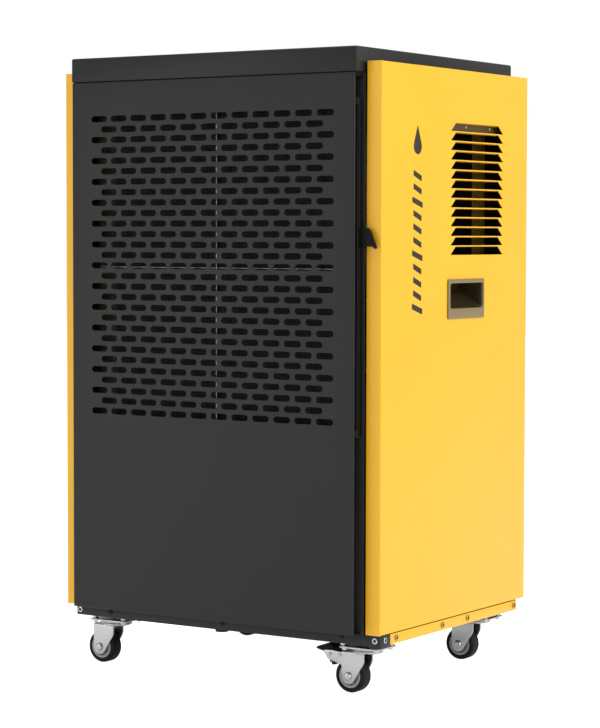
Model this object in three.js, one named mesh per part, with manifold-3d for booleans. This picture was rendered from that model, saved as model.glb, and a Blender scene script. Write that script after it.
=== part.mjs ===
// Commercial dehumidifier on casters: a louvred sheet-metal cabinet around a refrigerant drying circuit.
// Millimetres, +Z up, X across the machine, -Y towards its slotted front panel.
// The origin is on the floor under the middle of the whole machine.

import * as THREE from 'three';
import { mergeGeometries, mergeVertices } from 'three/addons/utils/BufferGeometryUtils.js';
import { ConvexGeometry } from 'three/addons/geometries/ConvexGeometry.js';
import Module from 'manifold-3d';

const wasm = await Module();
wasm.setup();

// ---------------------------------------------------------------- driving dimensions

const grid = 0.001;              // corners are snapped to this, so that faces meant to lie in one plane do
const touchGap = 0.3;            // between pieces that rest on each other
const runGap = 0.4;              // round anything that turns, slides or is pushed
const slideGap = 0.8;            // above and below the filter in its channels
const channelGap = 1.5;          // in front of and behind the filter

// Cabinet: x from its middle, y back from the side panels' front flanges, z up from their bottom edges
const cabinetWidth = 600;
const cabinetDepth = 471;
const sideHeight = 867.5;
const sheet = 1.2;
const sideFlange = 26.4;
const sideReturn = 12;
const coverGap = 4.4;            // side panel flange to the black covers
const coverSeam = 1.3;
const frontDepth = 22.8;
const frontShort = 3.3;          // front panel's right edge inside the lid's
const lidHeight = 37.6;
const lidRise = 21.9;            // lid top above the side panels
const baseHeight = 17;
const baseSheet = 1.5;
const plug = { y: 14, stem: 6, head: 10.5, drop: 4.5, above: 4 };
const bracketLength = 31;
const bracketWidth = 20;
const stripEnd = 27;             // side strip to the back of the side panel

// Front grille: staggered rows of round-ended slots
const slotLength = 31;
const slotHeight = 10;
const slotPitch = 38.96;
const rowPitch = 16.725;
const grilleSide = 39;           // panel edge to the outermost slots
const grilleTop = 54.2;          // panel top edge to the top row
const grilleBottom = 317;        // lowest height for a row

// Side louvres and carrying handle
const louvreCount = 14;
const louvrePitch = 15;
const louvreHeight = 13;
const louvreFront = 212;
const louvreLength = 174;
const louvreTaper = 17;          // how far each end of a louvre's top edge is drawn in
const louvreReach = 12.5;
const louvreDrop = 3.2;
const louvreTop = 83.7;          // side panel top to the first louvre
const handleDrop = 38.5;         // last louvre to the handle's rim
const handleRim = { front: 202, length: 118, height: 63, thick: 3 };
const handleMouth = { inset: 6.5, length: 108, bottom: 16.6, height: 39.8 };
const handleBody = { inset: 3, bottom: 10, height: 50, depth: 45, wall: 2.5 };

// Filter cassette and its sliding channel
const filterThick = 10;
const filterFront = -13;
const filterMember = 12;
const filterBar = 2.4;
const filterOverGrille = 14;     // filter beyond the slots, above and below
const tabReach = 31;
const tabHeight = 32;
const tabOverMiddle = 44;        // pull tab above the middle of the filter
const channelLip = 8;

// Drying circuit
const trayBottom = 285;
const trayHeight = 27;
const traySide = 29;             // tray to the cover's edge, each side
const coilSide = 45;             // coil end plates to the cover's edge, each side
const coilPlate = 2;
const evaporatorFront = 30;
const condenserFront = 106;
const coilDepth = 66;
const bulkheadFront = 178;
const bulkheadSide = 5;          // bulkhead to the cover's edge, each side
const fanMargin = 69;            // fan ring to the bulkhead's edge
const ringDepth = 25;
const bladeCount = 5;
const bladeChord = 90;
const bladePitch = THREE.MathUtils.degToRad(22);
const hubRadius = 55;
const shaftRadius = 6;
const motorRadius = 60;
const motorLength = 80;
const compressor = { x: -120, y: 285, radius: 72, height: 250, shoulder: 14, base: 92, baseThick: 6 };
const compressorFoot = { out: 78, radius: 11, rise: 12 };
const accumulator = { offset: 104, radius: 28, bottom: 60, top: 190, shoulder: 8 };
const strap = { bottom: 110, top: 130, half: 8 };
const stub = { radius: 6, length: 14 };
const pipeRadius = 6;
const pipeBend = 20;
const dischargeRadius = 5;
const dischargeBend = 16;
const suctionDrop = 23;          // drip tray to the cross run of each pipe under it
const dischargeDrop = 10;
const suctionRise = 115;         // drip tray to each pipe's joint on its coil
const dischargeRise = 135;
const pipeSide = 19;             // upright pipes to the cover's edge
const drainSide = 89.2;           // middle of the drain to the cover's edge
const drainPipeRadius = 8;
const drainBend = 20;
const drainPipeInset = 28;       // drain pipe in front of the bulkhead
const drainHeight = 40;
const spoutReach = 18;           // drain spout behind the side panels
const spout = { stem: 8.5, bore: 6, flange: 15, flangeThick: 3, inside: 10, barb: 9, barbRise: 1.5 };

// Rear panel and controls
const fascia = { width: 200, bottom: 255, height: 120, thick: 4, frame: 10 };
const windowSize = { width: 80, height: 30, x: -20, z: 85 };
const buttonX = [-60, -20, 20, 60];
const buttonZ = 35;
const buttonRadius = 8;
const buttonStand = 2;
const rocker = { x: 70, z: 85, width: 14, height: 26 };
const boxDepth = 70;
const boxHeight = 150;
const boxWidth = 210;
const controlRoom = 3.5;         // buttons' backs to the electrical box
const gland = { side: 89.2, z: 80, stem: 10, bore: 6, nut: 14, nutLength: 8, inside: 12, reach: 14 };
const postSide = 55.2;           // middle of a rear post to the cover's edge
const postWidth = 16;

// Casters
const casterInset = { x: 58, front: 60, rear: 61 };
const casterPlate = { x: 72, y: 60, thick: 2.5 };
const casterBolts = { x: 57, y: 44, radius: 5.5, height: 10.3 };
const wheelRadius = 26.5;
const treadWidth = 24;
const tyreThick = 7.2;
const trail = 25.6;
const axleRadius = 3.8;
const forkSheet = 2.5;
const forkRoom = 1.2;
const forkOverTyre = 12.5;
const forkNose = 23;             // king pin to the fork's edge away from the wheel
const forkHeel = 12;             // half the width of a cheek at the axle
const dish = { radius: 24.5, edge: 2, height: 6.9 };
const kingPin = { radius: 6, length: 7 };
const pedal = { overTyre: 18.7, angle: THREE.MathUtils.degToRad(135.45), pin: 2.5, room: 0.8 };
const brakeRivet = { ahead: 17.4, above: 0, radius: 2.2 };

// ---------------------------------------------------------------- places worked out from them

const half = cabinetWidth / 2;
const coverHalf = half - sideFlange - coverGap;
const lidTop = sideHeight + lidRise;
const lidBottom = lidTop - lidHeight;
const coverTop = lidBottom - coverSeam;
const coverBottom = 0.5;
const coverBack = cabinetDepth - coverSeam;
const baseBottom = -baseHeight;
const baseFloor = baseBottom + baseSheet;
const forkTop = 2 * wheelRadius + forkOverTyre;
const casterHeight = forkTop + dish.height + touchGap + casterPlate.thick;
const cabinetBottom = casterHeight + casterBolts.height + baseHeight;
const cabinetFront = (frontDepth - cabinetDepth - spoutReach) / 2;

const rows = Math.floor((coverTop - grilleTop - slotHeight - grilleBottom) / rowPitch) + 1;
const columns = Math.floor((2 * (coverHalf - grilleSide) + slotPitch - slotLength) / slotPitch);
const topRow = coverTop - grilleTop - slotHeight / 2;
const bottomRow = topRow - (rows - 1) * rowPitch;

const filterHalf = coverHalf - sheet - 2;
const filterBottom = bottomRow - slotHeight / 2 - filterOverGrille;
const filterTop = topRow + slotHeight / 2 + filterOverGrille;
const filterMiddle = (filterBottom + filterTop) / 2;
const filterBack = filterFront + filterThick;

const trayHalf = coverHalf - traySide;
const coilHalf = coverHalf - coilSide;
const coilBottom = trayBottom + baseSheet + touchGap;
const coilTop = filterTop;
const bulkheadHalf = coverHalf - bulkheadSide;
const bulkheadBack = bulkheadFront + baseSheet;
const fanZ = (trayBottom + coilTop) / 2;
const ringRadius = bulkheadHalf - fanMargin;
const motorFront = bulkheadBack + ringDepth + 7;
const pipeX = coverHalf - pipeSide;
const suctionZ = trayBottom - suctionDrop;
const dischargeZ = trayBottom - dischargeDrop;

const louvreZ = sideHeight - louvreTop;
const handleZ = louvreZ - (louvreCount - 1) * louvrePitch - louvreHeight - handleDrop - handleRim.height;
const fasciaBack = coverBack + touchGap;
const fasciaFace = fasciaBack + fascia.thick;
const boxBack = coverBack - controlRoom;
const rockerPivot = new THREE.Vector2(fasciaBack + fascia.thick / 2, fascia.bottom + rocker.z);
const postX = coverHalf - postSide;
const drainX = coverHalf - drainSide;
const glandX = gland.side - coverHalf;

const rimRadius = wheelRadius - tyreThick;
const forkInner = treadWidth / 2 + forkRoom;
const forkOuter = forkInner + forkSheet;
const pedalPivot = new THREE.Vector2(-trail, wheelRadius).add(
  new THREE.Vector2(wheelRadius + pedal.overTyre, 0).rotateAround(new THREE.Vector2(), pedal.angle));

// ---------------------------------------------------------------- materials

const finish = (color, roughness, metalness) => new THREE.MeshStandardMaterial({ color, roughness, metalness });
const yellowPaint = finish(0xfbc926, 0.42, 0.0);
const blackPaint = finish(0x2a2b2d, 0.5, 0.0);
const blackPlastic = finish(0x1c1c1e, 0.55, 0.0);
const zinc = finish(0xc9cccf, 0.32, 1.0);
const galvanised = finish(0xaab0b4, 0.45, 1.0);
const aluminium = finish(0xc4c8ca, 0.38, 1.0);
const copper = finish(0xb0683a, 0.35, 1.0);
const rubber = finish(0x151516, 0.8, 0.0);
const greyPlastic = finish(0x8d9092, 0.55, 0.0);
const filterNet = finish(0x4a4d50, 0.8, 0.0);
const darkGlass = finish(0x0c1116, 0.12, 0.0);

// ---------------------------------------------------------------- solids

function solidOf(geometry) {
  const bare = geometry.clone();
  bare.deleteAttribute('normal');
  bare.deleteAttribute('uv');
  const merged = mergeVertices(bare, 1e-4);
  const corners = merged.attributes.position.array.map((value) => Math.round(value / grid) * grid);
  const triangles = [];
  let volume = 0;
  for (let i = 0; i < merged.index.count; i += 3) {
    const [a, b, c] = merged.index.array.slice(i, i + 3);
    if (a === b || b === c || c === a) continue;
    triangles.push(a, b, c);
    const [p, q, r] = [a, b, c].map((k) => new THREE.Vector3().fromArray(corners, 3 * k));
    volume += p.dot(q.cross(r));
  }
  if (volume < 0) triangles.reverse();
  return new wasm.Manifold(new wasm.Mesh({
    numProp: 3,
    vertProperties: new Float32Array(corners),
    triVerts: new Uint32Array(triangles),
  }));
}

function joined(solids) {
  return solids.reduce((whole, piece) => whole.add(piece));
}

function cut(solid, tools) {
  return tools.reduce((rest, tool) => rest.subtract(tool), solid);
}

// A box between two places on each axis, given in either order
function block(...spans) {
  const size = spans.map(([from, to]) => Math.abs(to - from));
  const middle = spans.map(([from, to]) => (from + to) / 2);
  return solidOf(new THREE.BoxGeometry(...size).translate(...middle));
}

function outline(points, holes = []) {
  const shape = new THREE.Shape(points.map(([u, v]) => new THREE.Vector2(u, v)));
  shape.holes = holes.map((hole) => new THREE.Path(hole.map(([u, v]) => new THREE.Vector2(u, v))));
  return shape;
}

const rectangle = (u, v) => [[u[0], v[0]], [u[1], v[0]], [u[1], v[1]], [u[0], v[1]]];

// A shape drawn in (y, z), (x, z) or (x, y), pushed along the third axis
function extruded(shape, axis, [from, to], curveSegments = 8) {
  const geometry = new THREE.ExtrudeGeometry(shape, { depth: to - from, bevelEnabled: false, curveSegments });
  if (axis === 'x') {
    const turn = new THREE.Matrix4().makeBasis(
      new THREE.Vector3(0, 1, 0), new THREE.Vector3(0, 0, 1), new THREE.Vector3(1, 0, 0));
    geometry.applyMatrix4(turn).translate(from, 0, 0);
  }
  if (axis === 'y') geometry.rotateX(Math.PI / 2).translate(0, to, 0);
  if (axis === 'z') geometry.translate(0, 0, from);
  return solidOf(geometry);
}

// A profile of [radius, height] points turned about an axis through [u, v]
function turned(profile, axis, [u, v] = [0, 0], segments = 24) {
  const geometry = new THREE.LatheGeometry(profile.map(([r, h]) => new THREE.Vector2(r, h)), segments);
  if (axis === 'x') geometry.rotateZ(-Math.PI / 2).translate(0, u, v);
  if (axis === 'y') geometry.translate(u, 0, v);
  if (axis === 'z') geometry.rotateX(Math.PI / 2).translate(u, v, 0);
  return solidOf(geometry);
}

const rod = (axis, centre, radius, [from, to], segments = 12) => turned(
  [[0, from], [radius, from], [radius, to], [0, to]], axis, centre, segments);

function ring(axis, centre, [inner, outer], [from, to], segments = 24) {
  const profile = [[inner, from], [outer, from], [outer, to], [inner, to], [inner, from]];
  return turned(profile, axis, centre, segments);
}

// Straight runs with rounded corners: sections stand only at the ends and round each bend
class PipeRoute extends THREE.Curve {
  constructor(corners, bend, bendSteps = 3) {
    super();
    const points = corners.map((corner) => new THREE.Vector3(...corner));
    const towards = (from, to) => to.clone().sub(from).setLength(bend).add(from);
    this.stations = points.slice(1, -1).flatMap((corner, i) => new THREE.QuadraticBezierCurve3(
      towards(corner, points[i]), corner, towards(corner, points[i + 2]),
    ).getPoints(bendSteps));
    this.stations.unshift(points[0]);
    this.stations.push(points.at(-1));
  }

  getPointAt(t) {
    return this.stations[Math.round(t * (this.stations.length - 1))].clone();
  }

  getTangentAt(t) {
    const last = this.stations.length - 1;
    const index = Math.round(t * last);
    const before = this.stations[Math.max(index - 1, 0)];
    return this.stations[Math.min(index + 1, last)].clone().sub(before).normalize();
  }
}

function pipe(corners, radius, bend, sides = 8) {
  const route = new PipeRoute(corners, bend);
  const section = new THREE.Shape().absarc(0, 0, radius, 0, 2 * Math.PI);
  return solidOf(new THREE.ExtrudeGeometry(section, {
    steps: route.stations.length - 1,
    extrudePath: route,
    curveSegments: sides / 2,
  }));
}

function convex(points) {
  return solidOf(new ConvexGeometry(points.map((point) => new THREE.Vector3(...point))));
}

function part(group, name, solid, material) {
  const mesh = solid.getMesh();
  const geometry = new THREE.BufferGeometry();
  geometry.setAttribute('position', new THREE.BufferAttribute(new Float32Array(mesh.vertProperties), 3));
  geometry.setIndex(new THREE.BufferAttribute(new Uint32Array(mesh.triVerts), 1));
  geometry.computeVertexNormals();
  const object = new THREE.Mesh(geometry, material);
  object.name = name;
  group.add(object);
  return object;
}

// ---------------------------------------------------------------- base

// Outline of the tray with its corners left out, drawn in by an inset
function trayOutline(inset) {
  const wide = half - baseSheet - touchGap - inset;
  const narrow = half - bracketWidth - touchGap - inset;
  const front = inset;
  const back = cabinetDepth - inset;
  const notchFront = bracketLength + inset;
  const notchBack = cabinetDepth - stripEnd - inset;
  const rightHalf = [
    [narrow, front], [narrow, notchFront], [wide, notchFront],
    [wide, notchBack], [narrow, notchBack], [narrow, back],
  ];
  const leftHalf = rightHalf.map(([x, y]) => [-x, y]).reverse();
  return outline([...rightHalf, ...leftHalf]);
}

function basePan() {
  return cut(extruded(trayOutline(0), 'z', [baseBottom, -touchGap]), [
    extruded(trayOutline(baseSheet), 'z', [baseFloor, 1]),
    rod('z', [0, plug.y], plug.stem + runGap, [baseBottom - 1, baseFloor + 1], 16),
  ]);
}

// Rubber bung in the lowest point of the tray: a domed head under it and a stem through it
function drainPlug() {
  const under = baseBottom - touchGap;
  const low = under - plug.drop;
  const top = baseFloor + plug.above;
  return turned([
    [0, low], [plug.head * 0.6, low + 0.6], [plug.head, under - 1.5], [plug.head, under],
    [plug.stem, under], [plug.stem, top], [0, top],
  ], 'z', [0, plug.y], 16);
}

function sideStrip(side) {
  const x = [side * (half - baseSheet), side * half];
  return block(x, [bracketLength + touchGap, cabinetDepth - stripEnd], [baseBottom, -0.8]);
}

// Folded corner piece under the front right edge
function cornerBracket() {
  const inner = half - baseSheet;
  return extruded(outline([
    [half - bracketWidth, 0], [half, 0], [half, bracketLength], [inner, bracketLength],
    [inner, baseSheet], [half - bracketWidth, baseSheet],
  ]), 'z', [baseBottom - 3, -touchGap]);
}

// ---------------------------------------------------------------- yellow side panels and handles

function louvreEdges(index) {
  const top = louvreZ - index * louvrePitch;
  const wide = [louvreFront, louvreFront + louvreLength];
  const narrow = [wide[0] + louvreTaper, wide[1] - louvreTaper];
  return { top, bottom: top - louvreHeight, wide, narrow };
}

// The blade left over from each louvre opening, bent inwards about the opening's narrow top edge
function louvreBlade(side, { top, wide, narrow }) {
  const root = half - touchGap;
  const tip = root - louvreReach;
  const points = [];
  for (const dz of [-sheet / 2, sheet / 2]) {
    points.push([side * root, narrow[0] + 1, top + dz], [side * root, narrow[1] - 1, top + dz]);
    points.push([side * tip, wide[0], top - louvreDrop + dz], [side * tip, wide[1], top - louvreDrop + dz]);
  }
  return convex(points);
}

// Folded sheet: a flange and a short return down both upright edges, and a flange at the top and bottom
function sidePanel(side) {
  const louvres = Array.from({ length: louvreCount }, (_, index) => louvreEdges(index));
  const edge = half - sideFlange;
  const back = cabinetDepth;
  const section = outline([
    [half, 0], [half, back], [edge, back], [edge, back - sideReturn], [edge + sheet, back - sideReturn],
    [edge + sheet, back - sheet], [half - sheet, back - sheet], [half - sheet, sheet],
    [edge + sheet, sheet], [edge + sheet, sideReturn], [edge, sideReturn], [edge, 0],
  ].map(([x, y]) => [side * x, y]));
  const capX = [side * (edge + sheet / 2), side * (half - sheet / 2)];
  const capY = [sheet / 2, back - sheet / 2];
  const shell = joined([
    extruded(section, 'z', [0, sideHeight]),
    block(capX, capY, [touchGap, touchGap + sheet]),
    block(capX, capY, [sideHeight - touchGap - sheet, sideHeight - touchGap]),
  ]);
  const cutX = side > 0 ? [half - 2 * sheet, half + 1] : [-half - 1, 2 * sheet - half];
  const openings = louvres.map(({ top, bottom, wide, narrow }) => extruded(outline([
    [wide[0], bottom], [wide[1], bottom], [narrow[1], top], [narrow[0], top],
  ]), 'x', cutX));
  const bodyY = handleBodyY();
  const bodyZ = handleBodyZ();
  openings.push(block(cutX, [bodyY[0] - runGap, bodyY[1] + runGap], [bodyZ[0] - runGap, bodyZ[1] + runGap]));
  return joined([cut(shell, openings), ...louvres.map((louvre) => louvreBlade(side, louvre))]);
}

function handleBodyY() {
  const front = handleRim.front + handleBody.inset;
  return [front, handleRim.front + handleRim.length - handleBody.inset];
}

function handleBodyZ() {
  return [handleZ + handleBody.bottom, handleZ + handleBody.bottom + handleBody.height];
}

// Moulded finger recess: a proud rim, and a cup whose roof rises behind the rim for the fingers
function handleCup(side) {
  const rimX = [side * (half + touchGap), side * (half + handleRim.thick)];
  const rimY = [handleRim.front, handleRim.front + handleRim.length];
  const rimZ = [handleZ, handleZ + handleRim.height];
  const deep = half - handleBody.depth;
  const bodyZ = handleBodyZ();
  const mouthY = [rimY[0] + handleMouth.inset, rimY[0] + handleMouth.inset + handleMouth.length];
  const mouthZ = [handleZ + handleMouth.bottom, handleZ + handleMouth.bottom + handleMouth.height];
  const scoop = [];
  for (const y of mouthY) {
    for (const z of mouthZ) scoop.push([side * (half + handleRim.thick + 1), y, z]);
    for (const z of [bodyZ[0] + handleBody.wall, bodyZ[1] - handleBody.wall]) {
      scoop.push([side * (half - handleBody.wall), y, z], [side * (deep + handleBody.wall), y, z]);
    }
  }
  const cup = joined([
    block(rimX, rimY, rimZ),
    block([side * deep, side * (half + touchGap + 1)], handleBodyY(), bodyZ),
  ]);
  return cut(cup, [convex(scoop)]);
}

// ---------------------------------------------------------------- front panel, frame and filter

// One cutter for every slot: the slots stand clear of each other
function grilleSlots() {
  const slots = [];
  for (let row = 0; row < rows; row += 1) {
    const count = columns - row % 2;
    const z = topRow - row * rowPitch;
    for (let column = 0; column < count; column += 1) {
      const x = (column - (count - 1) / 2) * slotPitch;
      const slot = new THREE.BoxGeometry(slotLength, 3 * sheet, slotHeight);
      slots.push(slot.translate(x, sheet / 2 - frontDepth, z));
    }
  }
  return solidOf(mergeGeometries(slots));
}

// Folded pan with the grille in its face, open on its right-hand side where the filter slides in
function frontPanel() {
  const front = -frontDepth;
  const right = coverHalf - frontShort;
  return cut(
    block([-coverHalf, right], [front, -touchGap], [coverBottom, coverTop]),
    [
      block(
        [sheet - coverHalf, right - sheet],
        [front + sheet, 1],
        [coverBottom + sheet, coverTop - sheet],
      ),
      block(
        [right - 2 * sheet, right + 1],
        [front + 2 * sheet, 1],
        [coverBottom + 2 * sheet, coverTop - 2 * sheet],
      ),
      grilleSlots(),
    ],
  );
}

// Air baffle behind the front panel, with the two channels that the filter slides in
function frontFrame() {
  const baffleHalf = coverHalf + 2;
  const opening = rectangle(
    [-coilHalf - 6, coilHalf + 6],
    [trayBottom + trayHeight + 4, filterTop - 2],
  );
  const baffle = outline(rectangle([-baffleHalf, baffleHalf], [0, coverTop]), [opening]);
  const channelX = [-coverHalf + sheet + 0.5, coverHalf - sheet - 0.5];
  const channelFront = filterFront - channelGap - sheet;
  const pieces = [extruded(baffle, 'y', [0, sheet])];
  for (const [edge, away] of [[filterBottom, -1], [filterTop, 1]]) {
    const near = edge + away * slideGap;
    const far = near + away * sheet;
    pieces.push(block(channelX, [channelFront, sheet / 2], [near, far]));
    pieces.push(block(channelX, [channelFront, channelFront + sheet], [edge - away * channelLip, far]));
  }
  return joined(pieces);
}

function filterFrame() {
  const width = [-filterHalf, filterHalf];
  const height = [filterBottom, filterTop];
  const ring4 = outline(rectangle(width, height), [rectangle(
    [width[0] + filterMember, width[1] - filterMember],
    [height[0] + filterMember, height[1] - filterMember],
  )]);
  const barY = [filterFront + 3, filterFront + 6];
  return joined([
    extruded(ring4, 'y', [filterFront, filterBack]),
    block([-filterBar / 2, filterBar / 2], barY, [height[0] + 1, height[1] - 1]),
    block([width[0] + 1, width[1] - 1], barY, [filterMiddle - filterBar / 2, filterMiddle + filterBar / 2]),
  ]);
}

function filterMesh() {
  const inset = filterMember + touchGap;
  return block(
    [-filterHalf + inset, filterHalf - inset],
    [filterFront + 6 + touchGap, filterFront + 7.5],
    [filterBottom + inset, filterTop - inset],
  );
}

// End plate of the filter, with a flat hook that sticks out past the front panel to draw it by
function filterTab() {
  const root = filterHalf + touchGap;
  const z = filterMiddle + tabOverMiddle - tabHeight / 2;
  const hook = outline([
    [root, z + 4], [root + tabReach * 0.76, z + 4], [root + tabReach * 0.9, z], [root + tabReach, z + 2],
    [root + tabReach * 0.62, z + tabHeight * 0.9], [root + tabReach * 0.5, z + tabHeight], [root, z + tabHeight],
  ]);
  return joined([
    block([root, root + sheet], [filterFront, filterBack], [filterBottom, filterTop]),
    extruded(hook, 'y', [filterFront + 3, filterFront + 7]),
  ]);
}

// ---------------------------------------------------------------- lid and rear panel

function lid() {
  return cut(
    block([-coverHalf, coverHalf], [-frontDepth, coverBack], [lidBottom, lidTop]),
    [block(
      [sheet - coverHalf, coverHalf - sheet],
      [sheet - frontDepth, coverBack - sheet],
      [lidBottom - 1, lidTop - sheet],
    )],
  );
}

function rearPanel() {
  const back = coverBack;
  const front = back - sideReturn;
  const throughY = [back - sheet - 1, back + 1];
  return cut(block([-coverHalf, coverHalf], [front, back], [coverBottom, coverTop]), [
    block(
      [sheet - coverHalf, coverHalf - sheet],
      [front - 1, back - sheet],
      [coverBottom + sheet, coverTop - sheet],
    ),
    block(
      [-fascia.width / 2 + fascia.frame, fascia.width / 2 - fascia.frame],
      throughY,
      [fascia.bottom + fascia.frame, fascia.bottom + fascia.height - fascia.frame],
    ),
    rod('y', [drainX, drainHeight], spout.stem + touchGap, throughY, 16),
    rod('y', [glandX, gland.z], gland.stem + touchGap, throughY, 16),
  ]);
}

// Channel that stiffens the rear panel on each side of the fan's outlet chamber
function rearPost(side) {
  const x = [side * (postX - postWidth / 2), side * (postX + postWidth / 2)];
  const hollowX = [side * (postX - postWidth / 2 + sheet), side * (postX + postWidth / 2 - sheet)];
  const back = coverBack - sheet - touchGap;
  const z = [coverBottom + sheet + touchGap, coverTop - sheet - touchGap];
  return cut(block(x, [back - postWidth, back], z), [
    block(hollowX, [back - postWidth - 1, back - sheet], [z[0] - 1, z[1] + 1]),
  ]);
}

// Hose tail: a flange against the rear panel, a stem through it and a barbed nose behind it
function drainSpout() {
  const seat = coverBack + touchGap;
  const inside = seat - spout.inside;
  const tip = cabinetDepth + spoutReach;
  const tail = spout.stem - 1;
  return turned([
    [spout.bore, inside], [spout.stem, inside], [spout.stem, seat], [spout.flange, seat],
    [spout.flange, seat + spout.flangeThick], [tail, seat + spout.flangeThick], [tail, tip - spout.barb],
    [tail + spout.barbRise, tip - spout.barb], [spout.bore + 1, tip], [spout.bore, tip], [spout.bore, inside],
  ], 'y', [drainX, drainHeight], 12);
}

// Cable gland: clamping nut outside, threaded stem through the rear panel
function cableGland() {
  const seat = coverBack + touchGap;
  const centre = [glandX, gland.z];
  return joined([
    ring('y', centre, [gland.bore, gland.nut], [seat, seat + gland.nutLength], 6),
    ring('y', centre, [gland.bore, gland.stem], [seat - gland.inside, seat + gland.reach], 12),
  ]);
}

// ---------------------------------------------------------------- controls

function controlFascia() {
  const around = ([u, v], width, height) => rectangle(
    [u - width / 2, u + width / 2], [v - height / 2, v + height / 2]);
  const face = outline(around([0, fascia.bottom + fascia.height / 2], fascia.width, fascia.height), [
    around([windowSize.x, fascia.bottom + windowSize.z], windowSize.width, windowSize.height),
    around([rocker.x, fascia.bottom + rocker.z], rocker.width + 3 * runGap, rocker.height + 3 * runGap),
  ]);
  const holes = buttonX.map((x) => rod(
    'y', [x, fascia.bottom + buttonZ], buttonRadius + runGap, [fasciaBack - 1, fasciaFace + 1], 16));
  return cut(extruded(face, 'y', [fasciaBack, fasciaFace]), holes);
}

function displayWindow() {
  const reachX = windowSize.width / 2 - touchGap;
  const reachZ = windowSize.height / 2 - touchGap;
  const z = fascia.bottom + windowSize.z;
  return block(
    [windowSize.x - reachX, windowSize.x + reachX],
    [fasciaBack + touchGap, fasciaFace - 0.5],
    [z - reachZ, z + reachZ],
  );
}

// Round push button, kept in by a collar behind the fascia
function button(x) {
  const back = fasciaBack - runGap;
  const face = fasciaFace + buttonStand;
  return turned([
    [0, back - 1.2], [buttonRadius + 2, back - 1.2], [buttonRadius + 2, back], [buttonRadius, back],
    [buttonRadius, face - 0.8], [buttonRadius - 0.8, face], [0, face],
  ], 'y', [x, fascia.bottom + buttonZ], 12);
}

// Mains rocker, resting with its upper end in: its face is a shallow V
function rockerSwitch() {
  const rest = THREE.MathUtils.degToRad(8);
  const tip = rocker.height / 2 - touchGap;
  const [back, face, hollow, chamfer] = [-3.4, 3.2, 1.4, 2];
  const points = [[back, chamfer - tip], [face, -tip], [hollow, 0], [face, tip], [back, tip - chamfer]];
  const turnedPoints = points.map(([y, z]) => new THREE.Vector2(y, z)
    .rotateAround(new THREE.Vector2(), rest).add(rockerPivot).toArray());
  return extruded(outline(turnedPoints), 'x', [rocker.x - rocker.width / 2, rocker.x + rocker.width / 2]);
}

function electricalBox() {
  const z = fascia.bottom + (fascia.height - boxHeight) / 2;
  return block([-boxWidth / 2, boxWidth / 2], [boxBack - boxDepth, boxBack], [z, z + boxHeight]);
}

// ---------------------------------------------------------------- drying circuit

function dripTray() {
  const y = [sheet + touchGap, bulkheadFront - touchGap];
  const z = [trayBottom, trayBottom + trayHeight];
  return cut(block([-trayHalf, trayHalf], y, z), [
    block(
      [baseSheet - trayHalf, trayHalf - baseSheet],
      [y[0] + baseSheet, y[1] - baseSheet],
      [z[0] + baseSheet, z[1] + 1],
    ),
  ]);
}

// Fin pack between two end plates that stand in the tray
function coil(front) {
  const y = [front, front + coilDepth];
  const plateZ = [coilBottom, coilTop + 4];
  return joined([
    block([-coilHalf, coilHalf], [y[0] + 3, y[1] - 3], [coilBottom + 5, coilTop]),
    block([-coilHalf - coilPlate, -coilHalf], y, plateZ),
    block([coilHalf, coilHalf + coilPlate], y, plateZ),
  ]);
}

// Upright bulkhead behind the coils, with the fan's ring in its upper half
function fanShroud() {
  const z = [baseFloor + touchGap, coverTop - 3];
  const front = bulkheadFront;
  const lip = front + sideReturn;
  const inner = bulkheadHalf - baseSheet;
  const section = outline([
    [-bulkheadHalf, front], [bulkheadHalf, front], [bulkheadHalf, lip], [inner, lip],
    [inner, bulkheadBack], [-inner, bulkheadBack], [-inner, lip], [-bulkheadHalf, lip],
  ]);
  const through = [front - 1, bulkheadBack + 1];
  const bulkhead = cut(extruded(section, 'z', z), [
    rod('y', [0, fanZ], ringRadius + 1, through, 32),
    rod('y', [pipeX, suctionZ], pipeRadius + 2, through, 12),
    rod('y', [-pipeX, dischargeZ], pipeRadius + 2, through, 12),
    rod('y', [drainX, drainHeight], drainPipeRadius + 2, through, 12),
  ]);
  const fanRing = ring(
    'y', [0, fanZ], [ringRadius, ringRadius + 2], [front + touchGap, bulkheadBack + ringDepth], 32);
  return joined([bulkhead, fanRing]);
}

function fanImpeller() {
  const bladeInner = hubRadius - 3;
  const bladeOuter = ringRadius - 10;
  const middle = bulkheadBack + ringDepth / 2;
  const blades = Array.from({ length: bladeCount }, (_, index) => {
    const blade = new THREE.BoxGeometry(bladeOuter - bladeInner, 2.5, bladeChord);
    blade.rotateX(bladePitch).translate((bladeInner + bladeOuter) / 2, 0, 0);
    blade.rotateY(index * 2 * Math.PI / bladeCount).translate(0, middle, fanZ);
    return solidOf(blade);
  });
  const hub = rod('y', [0, fanZ], hubRadius, [middle - 13, middle + 13], 24);
  const bore = rod('y', [0, fanZ], shaftRadius + runGap, [middle - 8, middle + 14], 16);
  return cut(joined([hub, ...blades]), [bore]);
}

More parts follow.
